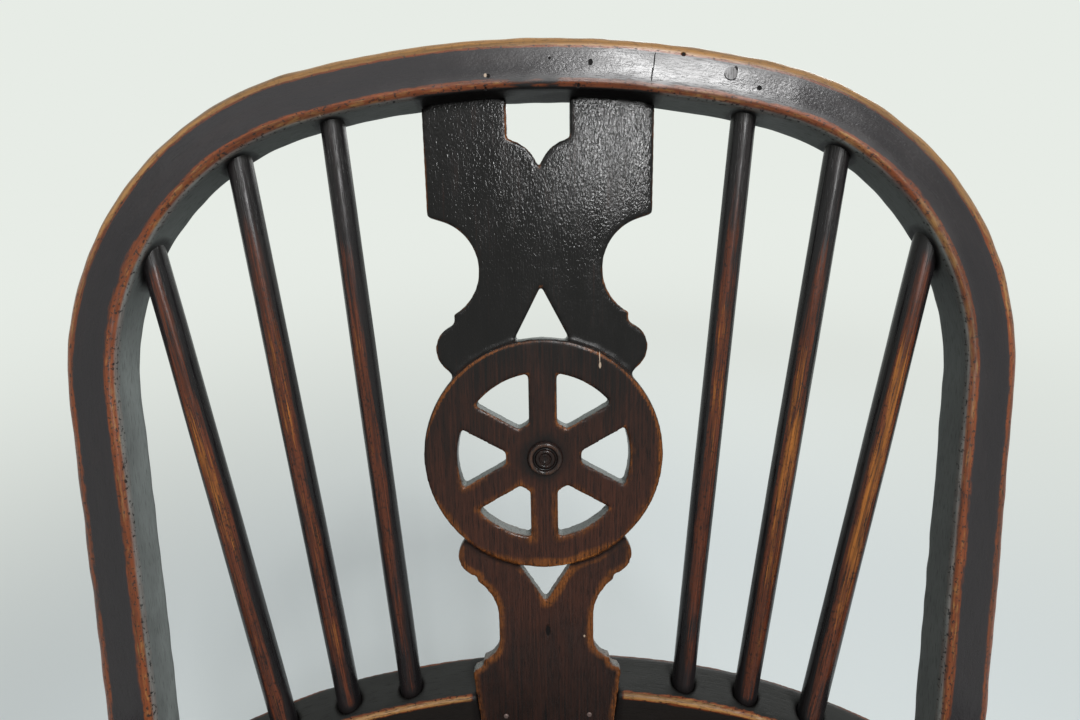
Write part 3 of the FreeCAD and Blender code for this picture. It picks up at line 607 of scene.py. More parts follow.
def outline_radii(node, start, end, step):
    """Radius of a turned piece at even steps along its axis, read from its solid.

    Each is the middle one of many readings round the piece, so that a socket on one side
    doesn't count.
    """
    graph = bpy.context.evaluated_depsgraph_get()
    skin = BVHTree.FromObject(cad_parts[node], graph)
    way = Vector(end - start).normalized()
    across = way.orthogonal().normalized()
    other = way.cross(across)
    length = np.linalg.norm(end - start)
    reach, readings, margin = 40.0, 18, 0.05
    heights = np.linspace(margin, length - margin, max(3, int(round(length / step))))
    radii = []
    for height in heights:
        centre = Vector(start) + way * height
        found = []
        for k in range(readings):
            angle = 2 * math.pi * (k + 0.5) / readings
            out = across * math.cos(angle) + other * math.sin(angle)
            hit = skin.ray_cast((centre + out * reach) * MM, -out, reach * MM)[0]
            if hit is not None:
                found.append((hit / MM - centre).length)
        radii.append(np.median(found) if len(found) > readings / 2 else radii[-1])
    return heights, np.array(radii)


LONG_STICKS, SHORT_STICKS, SUPPORTS, LEGS, RAILS = (
    sorted(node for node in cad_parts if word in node)
    for word in ("long_stick", "short_stick", "arm_support", "leg", "stretcher"))
AXES = [(*axis_of(node), STICK_R) for node in LONG_STICKS + SHORT_STICKS]
AXES += [(*axis_of(node), SUPPORT_R) for node in SUPPORTS]


def lathe(node, name, step, sides, seed, uneven, facets=0, level=(None, None)):
    """A turned or shaved piece built anew on its solid's axis and outline.

    level gives the heights of the planes that its ends are cut off in, where they are.
    uneven is how far the hand work wanders, in millimetres, and facets the number of flats.
    """
    start, end = axis_of(node)
    heights, radii = outline_radii(node, start, end, step)
    way = (end - start) / np.linalg.norm(end - start)
    front = np.array([0.0, -1.0, 0.0])
    front = front - (front @ way) * way
    front /= np.linalg.norm(front)
    right = np.cross(front, way)
    angle = 2 * np.pi * np.arange(sides) / sides
    out = np.cos(angle)[:, None] * front + np.sin(angle)[:, None] * right
    centres = start + heights[:, None] * way
    rings = centres[:, None, :] + radii[:, None, None] * out[None, :, :]
    keep, clear = np.ones(len(heights), bool), 0.4
    if level[0] is not None:
        keep &= rings[:, :, 2].min(1) > level[0] + clear
    if level[1] is not None:
        keep &= rings[:, :, 2].max(1) < level[1] - clear
    rings, heights, radii = rings[keep], heights[keep], radii[keep]
    grid_height, grid_angle = np.meshgrid(heights, angle, indexing="ij")
    flat = np.stack([grid_height / 60, np.cos(grid_angle), np.sin(grid_angle)], -1)
    wander = ripple(flat.reshape(-1, 3), 1.0, seed).reshape(grid_angle.shape) * uneven
    if facets:
        wander = wander - uneven * np.abs(np.sin(grid_angle * facets / 2 + grid_height / 160))
    wander *= fade(radii, 3.0, 5.0)[:, None]
    rings = rings + wander[:, :, None] * out[None, :, :]
    for side, z in enumerate(level):
        if z is not None:
            last = rings[-1 if side else 0]
            cut = last + ((z - last[:, 2]) / way[2])[:, None] * way
            rings = np.concatenate([rings, cut[None]] if side else [cut[None], rings])
            at = (cut.mean(0) - start) @ way
            heights = np.append(heights, at) if side else np.insert(heights, 0, at)
            radii = np.append(radii, radii[-1]) if side else np.insert(radii, 0, radii[0])
    obj = tube(name, rings)
    width = max(3, int(round(8.0 / step)))
    window = np.ones(2 * width + 1) / (2 * width + 1)
    around = np.convolve(np.pad(radii, width, "edge"), window, "valid")
    proud = (radii - around) / 2.0
    shape = (len(heights), sides)
    angles = np.broadcast_to(angle, shape).ravel()
    tall = np.repeat(heights, sides)
    thick = np.repeat(radii, sides)
    grain = np.stack([tall + 900 * seed, thick * np.cos(angles), thick * np.sin(angles)], -1)
    return obj, grain, np.repeat(proud, sides), angles


def bow_section():
    """The back bow's section with rounded corners, as (out, depth), and its outward ways."""
    half = (BOW_WIDTH / 2, BOW_DEPTH / 2)
    corners = ((1, -1, BOW_OUTER_ARRIS), (-1, -1, BOW_ARRIS), (-1, 1, BOW_ARRIS),
               (1, 1, BOW_ARRIS))
    points, ways = [], []
    for number, (u, v, r) in enumerate(corners):
        centre = np.array([u * (half[0] - r), v * (half[1] - r)])
        for a in np.linspace(0, -math.pi / 2, 8) - number * math.pi / 2:
            way = np.array([math.cos(a), math.sin(a)])
            points.append(centre + r * way)
            ways.append(way)
    spaced_points, spaced_ways = [], []
    for i, (point, way) in enumerate(zip(points, ways)):
        following = points[(i + 1) % len(points)]
        gap = np.linalg.norm(following - point)
        pieces = max(1, int(round(gap / BOW_SECTION_STEP)))
        for k in range(pieces):
            spaced_points.append(point + (following - point) * k / pieces)
            spaced_ways.append(way)
    return np.array(spaced_points), np.array(spaced_ways)


def bow_foot():
    """Distance along the back bow, and Y, at which its centre line meets the arm's top."""
    along = np.linspace(0, 700, 7001)
    side, drop, _ = BOW.place(along)
    at = np.interp(BOW_RISE, drop, along)
    foot_side = np.interp(BOW_RISE, drop, side)
    arm_side, arm_drop, _ = ARM.place(along)
    return at, ARM_BACK_Y - np.interp(foot_side, arm_side, arm_drop)


BOW_LENGTH, BOW_BASE_Y = bow_foot()


def out_from_bow(points):
    """How far points lie out from the back bow's centre line, in the bow's own plane."""
    side, rise, _ = to_plane(BOW_BASE_Y, BOW_LEAN, points)
    return BOW.find(side, BOW_RISE - rise)[1]


class CHAIR_OT_back_bow(bpy.types.Operator):
    """Sweeps the back bow's worn section round its bend and down through the arm bow"""

    bl_idname = "chair.back_bow"
    bl_label = "Back bow"

    def execute(self, context):
        looks = context.scene.wheelback_wood
        wander = context.scene.wheelback_tools.bow_wander
        section, ways = bow_section()
        stop = BOW_LENGTH - BOW_FOOT_GAP
        along = np.linspace(-stop, stop, int(2 * stop / BOW_STEP))
        side, drop, turned = BOW.place(along)
        grid = np.zeros((len(along), len(section), 3))
        grid[:, :, 0] = along[:, None]
        grid[:, :, 1:] = section
        flat = grid.reshape(-1, 3)
        slow = ripple(flat, (95.0, 40.0, 40.0), 3.0).reshape(grid.shape[:2])
        quick = ripple(flat, (11.0, 6.0, 6.0), 7.0).reshape(grid.shape[:2])
        corner = np.abs(ways).min(1) * math.sqrt(2)
        push = wander * slow + 0.3 * wander * quick + 0.9 * wander * corner * (quick - 0.5)
        push *= fade(stop - np.abs(along), 0.0, 12.0)[:, None]
        u = section[:, 0] + push * ways[:, 0]
        v = section[:, 1] + push * ways[:, 1]
        across = side[:, None] + u * np.sin(turned)[:, None]
        rise = BOW_RISE - drop[:, None] + u * np.cos(turned)[:, None]
        rings = from_plane(BOW_BASE_Y, BOW_LEAN, across, rise, v)
        obj = tube("back_bow_worn", self.add_tenons(rings))
        reach = np.linspace(1, 3, 3) * ARM_THICK / 3
        along = np.concatenate([-stop - reach[::-1], along, stop + reach])
        grain = np.stack(np.broadcast_arrays(along[:, None], section[:, 0], section[:, 1]), -1)
        grain = grain.reshape(-1, 3)
        self.measure_wear(obj.data, grain)
        finish_piece(obj, waxed_ash_bow(looks), "bow_ash", "back_bow")
        return {"FINISHED"}

    def add_tenons(self, rings):
        """Cuts the feet off in the arm's top and carries round tenons down through the arm."""
        for which in (0, -1):
            last = rings[which]
            way = last.mean(0) - rings[1 if which == 0 else -2].mean(0)
            way /= way[2]
            shoulder = last + (ARM_TOP - last[:, 2])[:, None] * way
            middle = last.mean(0) + (ARM_TOP - last.mean(0)[2]) * way
            out = shoulder - middle
            out *= (BOW_TENON_R / np.linalg.norm(out, axis=1))[:, None]
            low = middle - (ARM_THICK - 0.2) * way
            new = np.stack([shoulder, middle + out, low + out])
            rings = np.concatenate([new[::-1], rings] if which == 0 else [rings, new])
        return rings

    def measure_wear(self, mesh, grain):
        """The front's outer edge is bare, its inner edge red, and its underside dusty, with
        painted light where it is made paler for the light that bounces up onto it.
        """
        points = read_points(mesh)
        along, out, depth = grain.T
        crown = 1 - fade(np.abs(along), 170.0, 330.0)
        outer = (BOW_WIDTH / 2 - out) + (depth + BOW_DEPTH / 2)
        inner = (out + BOW_WIDTH / 2) + (depth + BOW_DEPTH / 2)
        outer_back = (BOW_WIDTH / 2 - out) + (BOW_DEPTH / 2 - depth)
        drift = ripple(grain, (38.0, 14.0, 14.0), 11.0)
        bare = (1 - fade(outer + 0.6 * drift, 5.0, 6.8)) * (0.45 + 0.5 * crown)
        red = (1 - fade(inner + 1.0 * drift, 3.0, 5.2)) * (0.6 + 0.14 * drift)
        back = (1 - fade(outer_back + drift, 2.5, 6.0)) * 0.5
        top = fade(out, 11.4, 12.0) * 0.4 * crown
        worn = np.maximum.reduce([bare, red, back, top])
        line = (1 - fade(np.abs(outer - 7.4), 0.2, 0.9)) * fade(along, 20.0, 60.0) * 0.75
        stain = (1 - fade(np.abs(along + 1.5), 6.0, 16.0)) * (1 - fade(inner, 3.5, 5.5))
        stain *= np.clip(0.7 + 1.2 * ripple(grain, (9.0, 1.6, 1.6), 2.0), 0, 1)
        low = (1 - fade(points[:, 2], ARM_TOP, ARM_TOP + 6.0)) * 0.8
        under = 1 - fade(out, -11.9, -11.2)
        # Painted shade with packed wax: the underside is darkened across the splat's width,
        # where the splat's top meets it
        board = (1 - fade(np.abs(along), 57.0, 60.0)) * (1 - fade(depth, 4.5, 6.5)) * under
        grime_and_painted_shade = np.maximum.reduce([joint_grime(points, 3.0), line, stain, low, board])
        # Painted light: the underside is painted pale grey through its dust, partly dust and
        # partly the light that bounces up onto it
        measure(mesh, grain, tone=0.1 + 0.12 * crown, worn=worn, grime_and_painted_shade=grime_and_painted_shade, dust_and_painted_light=0.9 * under,
                crackle=0.7 * fade(outer, 4.0, 9.0) * fade(inner, 4.0, 8.0) * (1 - under))


def waxed_ash_bow(looks):
    """Steam-bent ash, stained and waxed: a dark grey sheen, with gold where hands reach it."""
    face = -BOW_DEPTH / 2
    pits = [
        ((-23.0, -6.4, face), (0.8, 0.8, 2.0)), ((-24.6, -11.7, face), (0.8, 0.7, 2.0)),
        ((5.6, 0.7, face), (0.55, 0.55, 2.0)), ((19.2, -11.3, face), (0.9, 0.9, 2.0)),
        ((-102.6, -12.2, face), (0.8, 0.6, 2.0)), ((103.4, -2.8, face), (1.0, 0.9, 2.0)),
        ((66.4, 6.3, face), (1.0, 0.8, 2.0)), ((24.4, -0.8, face), (0.9, 1.3, 2.0)),
        ((53.6, 1.6, face), (0.22, 3.6, 2.0)), ((53.2, -4.4, face), (0.26, 2.6, 2.0)),
        ((90.9, 1.4, face), (1.0, 2.8, 2.0)),
    ]
    flecks = [((-24.3, -6.0, face), (0.7, 0.8, 2.0)), ((-104.4, -11.8, face), (0.6, 0.6, 2.0))]
    return aged_wood(
        "steam_bent_ash_dark_wax", looks.bow_dark, looks.bow_brown, looks.red, looks.gold,
        rough=0.18, gloss=0.34, ring_height=0.03, fibre=(7.0, 0.4), pores=0.35,
        fray=(6.0, 1.1), crackle=0.024, pits=pits, flecks=flecks)


def waxed_ash_arm(looks):
    """The same ash on the arm, where dust has settled into the wax on its flat top."""
    return aged_wood(
        "steam_bent_ash_arm_wax", looks.arm_dark, looks.bow_brown, looks.red, looks.gold,
        rough=0.34, gloss=0.18, fibre=(9.0, 0.5), fray=(9.0, 1.1))


class CHAIR_OT_arm_bow(bpy.types.Operator):
    """Works over the arm bow and the pads of its hands"""

    bl_idname = "chair.arm_bow"
    bl_label = "Arm bow"

    def execute(self, context):
        material = waxed_ash_arm(context.scene.wheelback_wood)
        self.work("arm_bow", "arm_bow_worn", ARM_CELL, material)
        for side in ("left", "right"):
            self.work("hand_pad_" + side, "hand_pad_worn_" + side, PAD_CELL, material)
        return {"FINISHED"}

    def work(self, node, name, cell, material):
        obj = worked_copy(node, name, cell, 3)
        mesh = obj.data
        points = read_points(mesh)
        along, out = ARM.find(points[:, 0], ARM_BACK_Y - points[:, 1])
        down = ARM_TOP - points[:, 2]
        grain = np.stack([along, out, down], -1)
        drift = ripple(grain, (42.0, 16.0, 16.0), 5.0)
        front = (out + ARM_WIDTH / 2) + down
        back = (ARM_WIDTH / 2 - out) + down
        hand = fade(np.abs(along), 395.0, 450.0)
        bare = (1 - fade(front + 0.8 * drift, 2.1, 3.5)) * (0.92 + 0.1 * drift)
        thin = (1 - fade(back + 1.0 * drift, 1.2, 3.4)) * 0.55
        proud = np.clip(standing_out(mesh, cell, 8) * 1.6, 0, 1) * (0.25 + 0.45 * hand)
        palm = hand * (1 - fade(down, 0.0, 9.0)) * (0.42 + 0.2 * drift)
        worn = np.maximum.reduce([bare, thin, proud, palm])
        grime_and_painted_shade = joint_grime(points, 2.2) * 0.95
        # Painted shade with packed wax: the arm's front is darkened across the splat's width, in
        # the gap where the splat stands in front of it
        board = np.maximum(np.abs(points[:, 0]) - 43.0, 0)
        grime_and_painted_shade = np.maximum(grime_and_painted_shade, (1 - fade(board, 0.0, 2.5)) * fade(-out, 9.0, 12.0))
        write_points(mesh, points + read_normals(mesh) * (0.16 * drift)[:, None])
        top = 1 - fade(down, 0.2, 1.2)
        measure(mesh, grain, tone=0.05 + 0.5 * hand, worn=worn, grime_and_painted_shade=grime_and_painted_shade,
                dust_and_painted_light=0.05 * top * (1 - hand))
        finish_piece(obj, material, "bow_ash", node)


def face_outlines(mesh, normal):
    """Points every half millimetre along the borders of the faces that lie square to a way."""
    mesh.calc_loop_triangles()
    corners = np.zeros(len(mesh.loop_triangles) * 3, int)
    mesh.loop_triangles.foreach_get("vertices", corners)
    corners = corners.reshape(-1, 3)
    points = read_points(mesh)
    keys = np.unique(np.round(points, 3), axis=0, return_inverse=True)[1].ravel()
    a, b, c = (points[corners[:, k]] for k in range(3))
    normals = np.cross(b - a, c - a)
    size = np.linalg.norm(normals, axis=1)
    facing = np.abs(normals @ normal) > 0.999 * size
    count = {}
    for triangle in corners[facing & (size > 0)]:
        for i in range(3):
            p, q = triangle[i], triangle[(i + 1) % 3]
            key = tuple(sorted((keys[p], keys[q])))
            count.setdefault(key, []).append((p, q))
    samples = []
    for pairs in count.values():
        if len(pairs) == 1:
            p, q = (points[i] for i in pairs[0])
            steps = max(2, int(np.linalg.norm(q - p) / 0.5) + 1)
            samples += [p + (q - p) * t for t in np.linspace(0, 1, steps)]
    return np.array(samples)


class CHAIR_OT_splat(bpy.types.Operator):
    """Works over the splat, with its crackled top, its wheel and its rubbed edges"""

    bl_idname = "chair.splat"
    bl_label = "Splat"

    def execute(self, context):
        looks = context.scene.wheelback_wood
        depth_mm = context.scene.wheelback_tools.crackle_depth
        obj = worked_copy("splat", "splat_worn", SPLAT_CELL, 4)
        mesh = obj.data
        points = read_points(mesh)
        side, rise, depth = to_plane(SPLAT_FACE_Y, SPLAT_LEAN, points)
        grain = np.stack([rise, side, depth], -1)
        wheel_r = np.hypot(side, rise - WHEEL_RISE)
        wheel = (wheel_r < WHEEL_R + 0.5) & (depth < -0.6)
        edge = self.edge_distance(points)

        # Black at the top, brown from the wheel's lower half down to the neck
        board_tone = np.interp(rise, [-230, -60, 0, 40, 62, 85, 105, 140, 185],
                               [0.34, 0.32, 0.36, 0.56, 0.84, 0.8, 0.46, 0.12, 0.0])
        wheel_tone = np.interp(rise, [84, 110, 150, 185, 211], [0.98, 0.84, 0.58, 0.34, 0.16])
        tone = np.where(wheel, wheel_tone, board_tone)
        drift = ripple(grain, (26.0, 9.0, 9.0), 2.0)
        rub = np.interp(rise, [-230, -40, 0, 60, 110, 150, 190, 230, 300],
                        [0.26, 0.3, 0.42, 0.56, 0.5, 0.42, 0.4, 0.4, 0.36])
        line = (1 - fade(edge + 0.3 * drift, 0.3, 1.5)) * rub
        wide = np.interp(rise, [-40, 0, 60, 82, 100, 170, 205, 230],
                         [0.14, 0.26, 0.46, 0.46, 0.28, 0.12, 0.06, 0.0])
        rubs = np.clip(1 + 1.1 * ripple(grain, (34.0, 24.0, 24.0), 13.0), 0.3, 1.5)
        worn = np.maximum(line, (1 - fade(edge + 1.5 * drift, 0.6, 7.5)) * wide) * rubs
        # Painted shadow with packed wax: a dark band on the board round the wheel's foot, where
        # the wheel stands proud of it
        ring = (depth > -0.6) & (depth < 1.0) & (wheel_r > WHEEL_R - 0.4)
        corner = np.where(ring, 1 - fade(wheel_r - WHEEL_R, 0.2, 5.0), 0)
        hub = np.where(depth < 0, 1 - fade(wheel_r + 2.0 * drift, BOSS_R, BOSS_R + 8.0), 0)
        arm = (1 - fade(np.abs(rise + 12.0), 13.0, 16.0)) * fade(depth, 1.0, 4.0)
        # Painted shadow with packed wax: the board's top is darkened where it runs under the
        # back bow
        top = fade(out_from_bow(points), -BOW_WIDTH / 2 - 3.2, -BOW_WIDTH / 2 - 0.6)
        grime_and_painted_shade = np.maximum.reduce([0.9 * corner, 0.85 * hub, arm, top])
        crackle = np.interp(rise, [60, 150, 200, 245, 340], [0.03, 0.08, 0.28, 0.8, 1.0])
        crackle = np.where(wheel, 0.08, crackle)
        crackle *= 1 - 0.5 * (1 - fade(edge, 0.0, 3.0))
        normals = read_normals(mesh)
        # Painted light: the sides of the piercings that face up are painted pale grey, partly as
        # dust and partly as the light from above that they catch
        facing = np.abs(normals @ SPLAT_WAY)
        inside = (1 - fade(facing, 0.25, 0.5)) * fade(normals[:, 2], 0.1, 0.5)
        pebble = ripple(grain, (4.4, 2.6, 2.6), 9.0) * crackle * depth_mm
        planed = ripple(grain, (70.0, 16.0, 30.0), 4.0) * 0.12
        write_points(mesh, points + normals * (pebble + planed)[:, None])
        measure(mesh, grain, tone=tone, worn=worn, grime_and_painted_shade=grime_and_painted_shade, crackle=crackle,
                dust_and_painted_light=0.75 * inside)
        finish_piece(obj, varnished_fruitwood(looks, depth_mm), "splat_fruitwood", "splat")
        return {"FINISHED"}

    def edge_distance(self, points):
        """Distance of each corner from the board's nearest outline, nail holes left out."""
        samples = face_outlines(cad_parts["splat"].data, SPLAT_WAY)
        heads = read_points(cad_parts["splat_nails"].data)
        clear = np.linalg.norm(samples[:, None] - heads, axis=2).min(1) > 1.0
        samples = samples[clear]
        tree = kdtree.KDTree(len(samples))
        for i, sample in enumerate(samples):
            tree.insert(sample, i)
        tree.balance()
        return np.array([tree.find(point)[2] for point in points])


def varnished_fruitwood(looks, crackle):
    """Sawn fruitwood under old spirit varnish: black and drawn up at the top, brown below."""
    face = 0.0
    proud = -WHEEL_RELIEF
    pits = [
        ((43.0, 0.9, face), (3.6, 1.3, 2.0)), ((-16.0, -1.1, face), (11.0, 0.45, 2.0)),
    ]
    flecks = [
        ((39.2, 21.7, face), (0.7, 0.5, 2.0)), ((197.4, 29.9, proud), (1.6, 0.6, 1.5)),
        ((202.0, 29.7, proud), (3.6, 0.25, 1.5)),
    ]
    return aged_wood(
        "sawn_fruitwood_old_varnish", looks.splat_black, looks.splat_brown, looks.splat_edge,
        looks.splat_bare, rough=0.12, gloss=0.2, rings=(60.0, 1.2), ring_tone=0.9,
        ring_height=0.02, fibre=(9.0, 0.5), pores=0.75, fray=(3.0, 1.6), ragged=1.5,
        specks=0.6, crackle=crackle, pits=pits, flecks=flecks)


class CHAIR_OT_sticks(bpy.types.Operator):
    """Shaves the long sticks of the back and the short sticks under the arms"""

    bl_idname = "chair.sticks"
    bl_label = "Sticks"

    def execute(self, context):
        flat_depth = context.scene.wheelback_tools.stick_facets
        material = shaved_ash(context.scene.wheelback_wood)
        for number, node in enumerate(LONG_STICKS + SHORT_STICKS):
            name = node.replace("stick", "stick_worn")
            obj, grain, _, angle = lathe(
                node, name, step=3.0, sides=30, seed=1.0 + number, uneven=flat_depth,
                facets=11)
            points = read_points(obj.data)
            z = points[:, 2]
            left, inner = "left" in node, node.endswith("1")
            turned_in = (0.1 if inner else 0.26) * (-1 if left else 1)
            front = np.cos(angle - turned_in)
            drift = ripple(grain, (70.0, 5.0, 5.0), 1.0)
            amount = np.interp(z, [SEAT_TOP, 620, ARM_TOP + 10, 718, 760, 820, 870, 920, 960],
                               [0.3, 0.35, 0.28, 0.6, 0.72, 0.86, 0.8, 0.45, 0.1])
            amount = amount * (0.78 if left else 0.98)
            narrow = 0.9
            if inner:
                amount = amount * 0.76
                narrow = 0.94
            streak = fade(front + 0.12 * drift, narrow - 0.25, 1.02)
            worn = streak * (amount + 0.18 * drift)
            near_arm = 1 - fade(np.abs(z - ARM_TOP + ARM_THICK / 2), 12.5, 17.0)
            # Painted shadow with packed wax: the sticks' tops are darkened where they meet the
            # back bow's underside
            bow_shadow_and_grime = fade(
                out_from_bow(points), -BOW_WIDTH / 2 - 6.0, -BOW_WIDTH / 2) * 0.85
            measure(obj.data, grain, tone=0.1 + 0.3 * streak, worn=worn,
                    grime_and_painted_shade=np.maximum(near_arm * 0.8, bow_shadow_and_grime))
            finish_piece(obj, material, "stick_ash", node)
        return {"FINISHED"}


def shaved_ash(looks):
    """Ash shaved along the grain: long soft highlights, red and gold where backs rub it."""
    return aged_wood(
        "shaved_ash_dark_wax", looks.stick_dark, looks.bow_brown, looks.stick_red,
        looks.stick_gold, rough=0.26, rings=(90.0, 0.9), ring_tone=0.6, fibre=(20.0, 0.5),
        pores=0.8, fray=(26.0, 0.9), specks=0.7)


class CHAIR_OT_seat(bpy.types.Operator):
    """Works over the hollowed plank seat"""

    bl_idname = "chair.seat"
    bl_label = "Seat"

    def execute(self, context):
        obj = worked_copy("seat", "seat_worn", SEAT_CELL, 2)
        mesh = obj.data
        points = read_points(mesh)
        normals = read_normals(mesh)
        grain = np.stack([points[:, 1], points[:, 0], points[:, 2]], -1)
        drift = ripple(points, (60.0, 60.0, 30.0), 6.0)
        up = np.clip(normals[:, 2], 0, 1)
        across = points[:, 0] / SADDLE_HALF_WIDTH
        deep = (points[:, 1] - SADDLE_MIDDLE_Y) / SADDLE_HALF_DEPTH
        saddle = 1 - fade(np.hypot(across, deep) + 0.12 * drift, 0.45, 1.08)
        proud = np.clip(standing_out(mesh, SEAT_CELL, 4) * 1.7, 0, 1)
        front = 1 - fade(points[:, 1], -230.0, -120.0)
        worn = proud * (0.35 + 0.4 * front) + saddle * up * (0.16 + 0.12 * drift)
        grime_and_painted_shade = joint_grime(points, 7.0) * 0.9 * fade(points[:, 2], 424.0, 430.0)
        back = fade(points[:, 1], 110.0, 170.0) * 0.35 * up
        scraped = ripple(points, (26.0, 60.0, 60.0), 8.0) * 0.25 * up * saddle
        write_points(mesh, points + normals * scraped[:, None])
        measure(mesh, grain, tone=0.1 + 0.75 * saddle * up, worn=worn,
                grime_and_painted_shade=np.maximum(grime_and_painted_shade, back))
        finish_piece(obj, adzed_elm(context.scene.wheelback_wood), "seat_elm", "seat")
        return {"FINISHED"}


def adzed_elm(looks):
    """Elm plank hollowed with adze and scraper: broad wild rings, polished by use."""
    return aged_wood(
        "adzed_elm_polished", looks.seat_dark, looks.seat_brown, looks.seat_brown,
        looks.splat_edge, rough=0.34, rings=(230.0, 11.0), ring_tone=0.75, fibre=(12.0, 0.8))


class CHAIR_OT_turned_parts(bpy.types.Operator):
    """Turns the legs, the stretchers and the arm supports"""

    bl_idname = "chair.turned_parts"
    bl_label = "Turned parts"

    def execute(self, context):
        material = turned_beech(context.scene.wheelback_wood)
        for number, node in enumerate(LEGS + RAILS + SUPPORTS):
            level = (None, None)
            if node in LEGS:
                level = (0.0, None)
            if node in SUPPORTS:
                level = (None, ARM_TOP - 0.15)
            name = node + "_turned"
            obj, grain, proud, angle = lathe(
                node, name, step=1.3, sides=40, seed=20.0 + number, uneven=0.12, level=level)
            front = np.cos(angle)
            points = read_points(obj.data)
            drift = ripple(grain, (45.0, 9.0, 9.0), 1.0)
            worn = np.clip(proud * 1.3, 0, 1) * (0.6 + 0.25 * drift)
            foot = (1 - fade(points[:, 2] + 6 * drift, 4.0, 30.0)) * 0.5
            face = fade(front, 0.2, 1.0) * 0.22 * (1 + drift)
            worn = np.maximum.reduce([worn, foot, face])
            grime_and_painted_shade = np.clip(-proud * 1.4, 0, 1) * 0.8
            measure(obj.data, grain, tone=0.2 + 0.25 * fade(front, -0.2, 1.0), worn=worn,
                    grime_and_painted_shade=grime_and_painted_shade)
            finish_piece(obj, material, "turned_beech", node)
        return {"FINISHED"}


def turned_beech(looks):
    """Turned beech, stained and waxed: fine flecks, dark in its grooves, red on its beads."""
    return aged_wood(
        "turned_beech_dark_wax", looks.stick_dark, looks.bow_brown, looks.stick_red,
        looks.stick_gold, rough=0.33, rings=(60.0, 3.0), fibre=(5.0, 0.5))


class CHAIR_OT_small_parts(bpy.types.Operator):
    """Finishes the wheel's boss, the nails, the pegs and the wedges"""

    bl_idname = "chair.small_parts"
    bl_label = "Small parts"

    def execute(self, context):
        looks = context.scene.wheelback_wood
        self.boss(looks)
        self.peg(looks)
        nails = plain_copy("splat_nails", "splat_nail_heads")
        finish_piece(nails, rubbed_iron(looks), "nail_iron", "splat_nails")
        wood = end_grain(looks)
        for node, name, slot in (("bow_foot_pegs", "bow_foot_peg_ends", "bow_ash"),
                                 ("arm_wedges", "arm_wedge_ends", "turned_beech")):
            obj = plain_copy(node, name)
            measure(obj.data, read_points(obj.data)[:, [2, 0, 1]], tone=0.4, worn=0.25)
            finish_piece(obj, wood, slot, node)
        return {"FINISHED"}

    def boss(self, looks):
        obj = plain_copy("wheel_boss", "wheel_boss_worn")
        points = read_points(obj.data)
        side, rise, depth = to_plane(SPLAT_FACE_Y, SPLAT_LEAN, points)
        r = np.hypot(side - 0.8, rise - WHEEL_RISE)
        drift = ripple(points, 3.0, 4.0)
        outer = 1 - fade(np.abs(r - 7.8 + 0.4 * drift), 0.3, 1.6)
        worn = outer * 0.22 + (1 - fade(np.abs(r - 4.4), 0.2, 1.0)) * 0.14
        groove = (1 - fade(np.abs(r - 5.9), 0.2, 0.9)) * 0.95
        grime_and_painted_shade = np.maximum(groove, fade(depth, -WHEEL_RELIEF - 0.9, -WHEEL_RELIEF))
        grain = np.stack([rise, side, depth], -1)
        measure(obj.data, grain, tone=0.3 + 0.1 * outer, worn=worn, grime_and_painted_shade=grime_and_painted_shade * 0.9,
                dust_and_painted_light=0.06 * outer)
        finish_piece(obj, varnished_fruitwood(looks, 0.0), "splat_fruitwood", "wheel_boss")

    def peg(self, looks):
        """The peg in the bow's face, its end a hair proud where the bow has shrunk round it."""
        obj = plain_copy("bow_peg", "bow_peg_end")
        points = read_points(obj.data)
        side, rise, depth = to_plane(BOW_BASE_Y, BOW_LEAN, points)
        proud = np.where(depth < -BOW_DEPTH / 2 + 0.5, 0.45, 0.0)
        write_points(obj.data, from_plane(BOW_BASE_Y, BOW_LEAN, side, rise, depth - proud))
        measure(obj.data, np.stack([rise, side, depth], -1), tone=0.3, worn=0.1)
        finish_piece(obj, waxed_ash_bow(looks), "bow_ash", "bow_peg")


def end_grain(looks):
    """End grain of pegs and wedges, which drinks the stain and stays darker and duller."""
    return aged_wood(
        "ash_end_grain_wax", looks.stick_dark, looks.bow_brown, looks.red, looks.gold,
        rough=0.45, rings=(2.0, 2.0), fibre=(0.6, 0.6))


def rubbed_iron(looks):
    """Cut iron, rubbed on the round heads of the nails: a dull grey with brown in its pits."""
    material = bpy.data.materials.new("cut_iron_rubbed")
    tree = fresh_tree(material)
    place = put(tree, "TexCoord").node.outputs["Object"]
    pit_size = 0.5
    pitted = put(tree, "TexNoise", {"Vector": place, "Scale": 1 / (pit_size * MM)})
    rust = put(tree, "Mix", {0: pitted, 6: full(looks.iron), 7: full(looks.rust)},
               data_type="RGBA")
    dull = put(tree, "MapRange", {0: pitted, 1: 0.3, 2: 0.7, 3: 0.4, 4: 0.7})
    bump = put(tree, "Bump", {"Height": pitted, "Distance": 0.1 * MM})
    shader = put(tree, "BsdfPrincipled", {
        "Base Color": rust, "Roughness": dull, "Metallic": 0.7, "Normal": bump})
    put(tree, "OutputMaterial", {"Surface": shader})
    return material


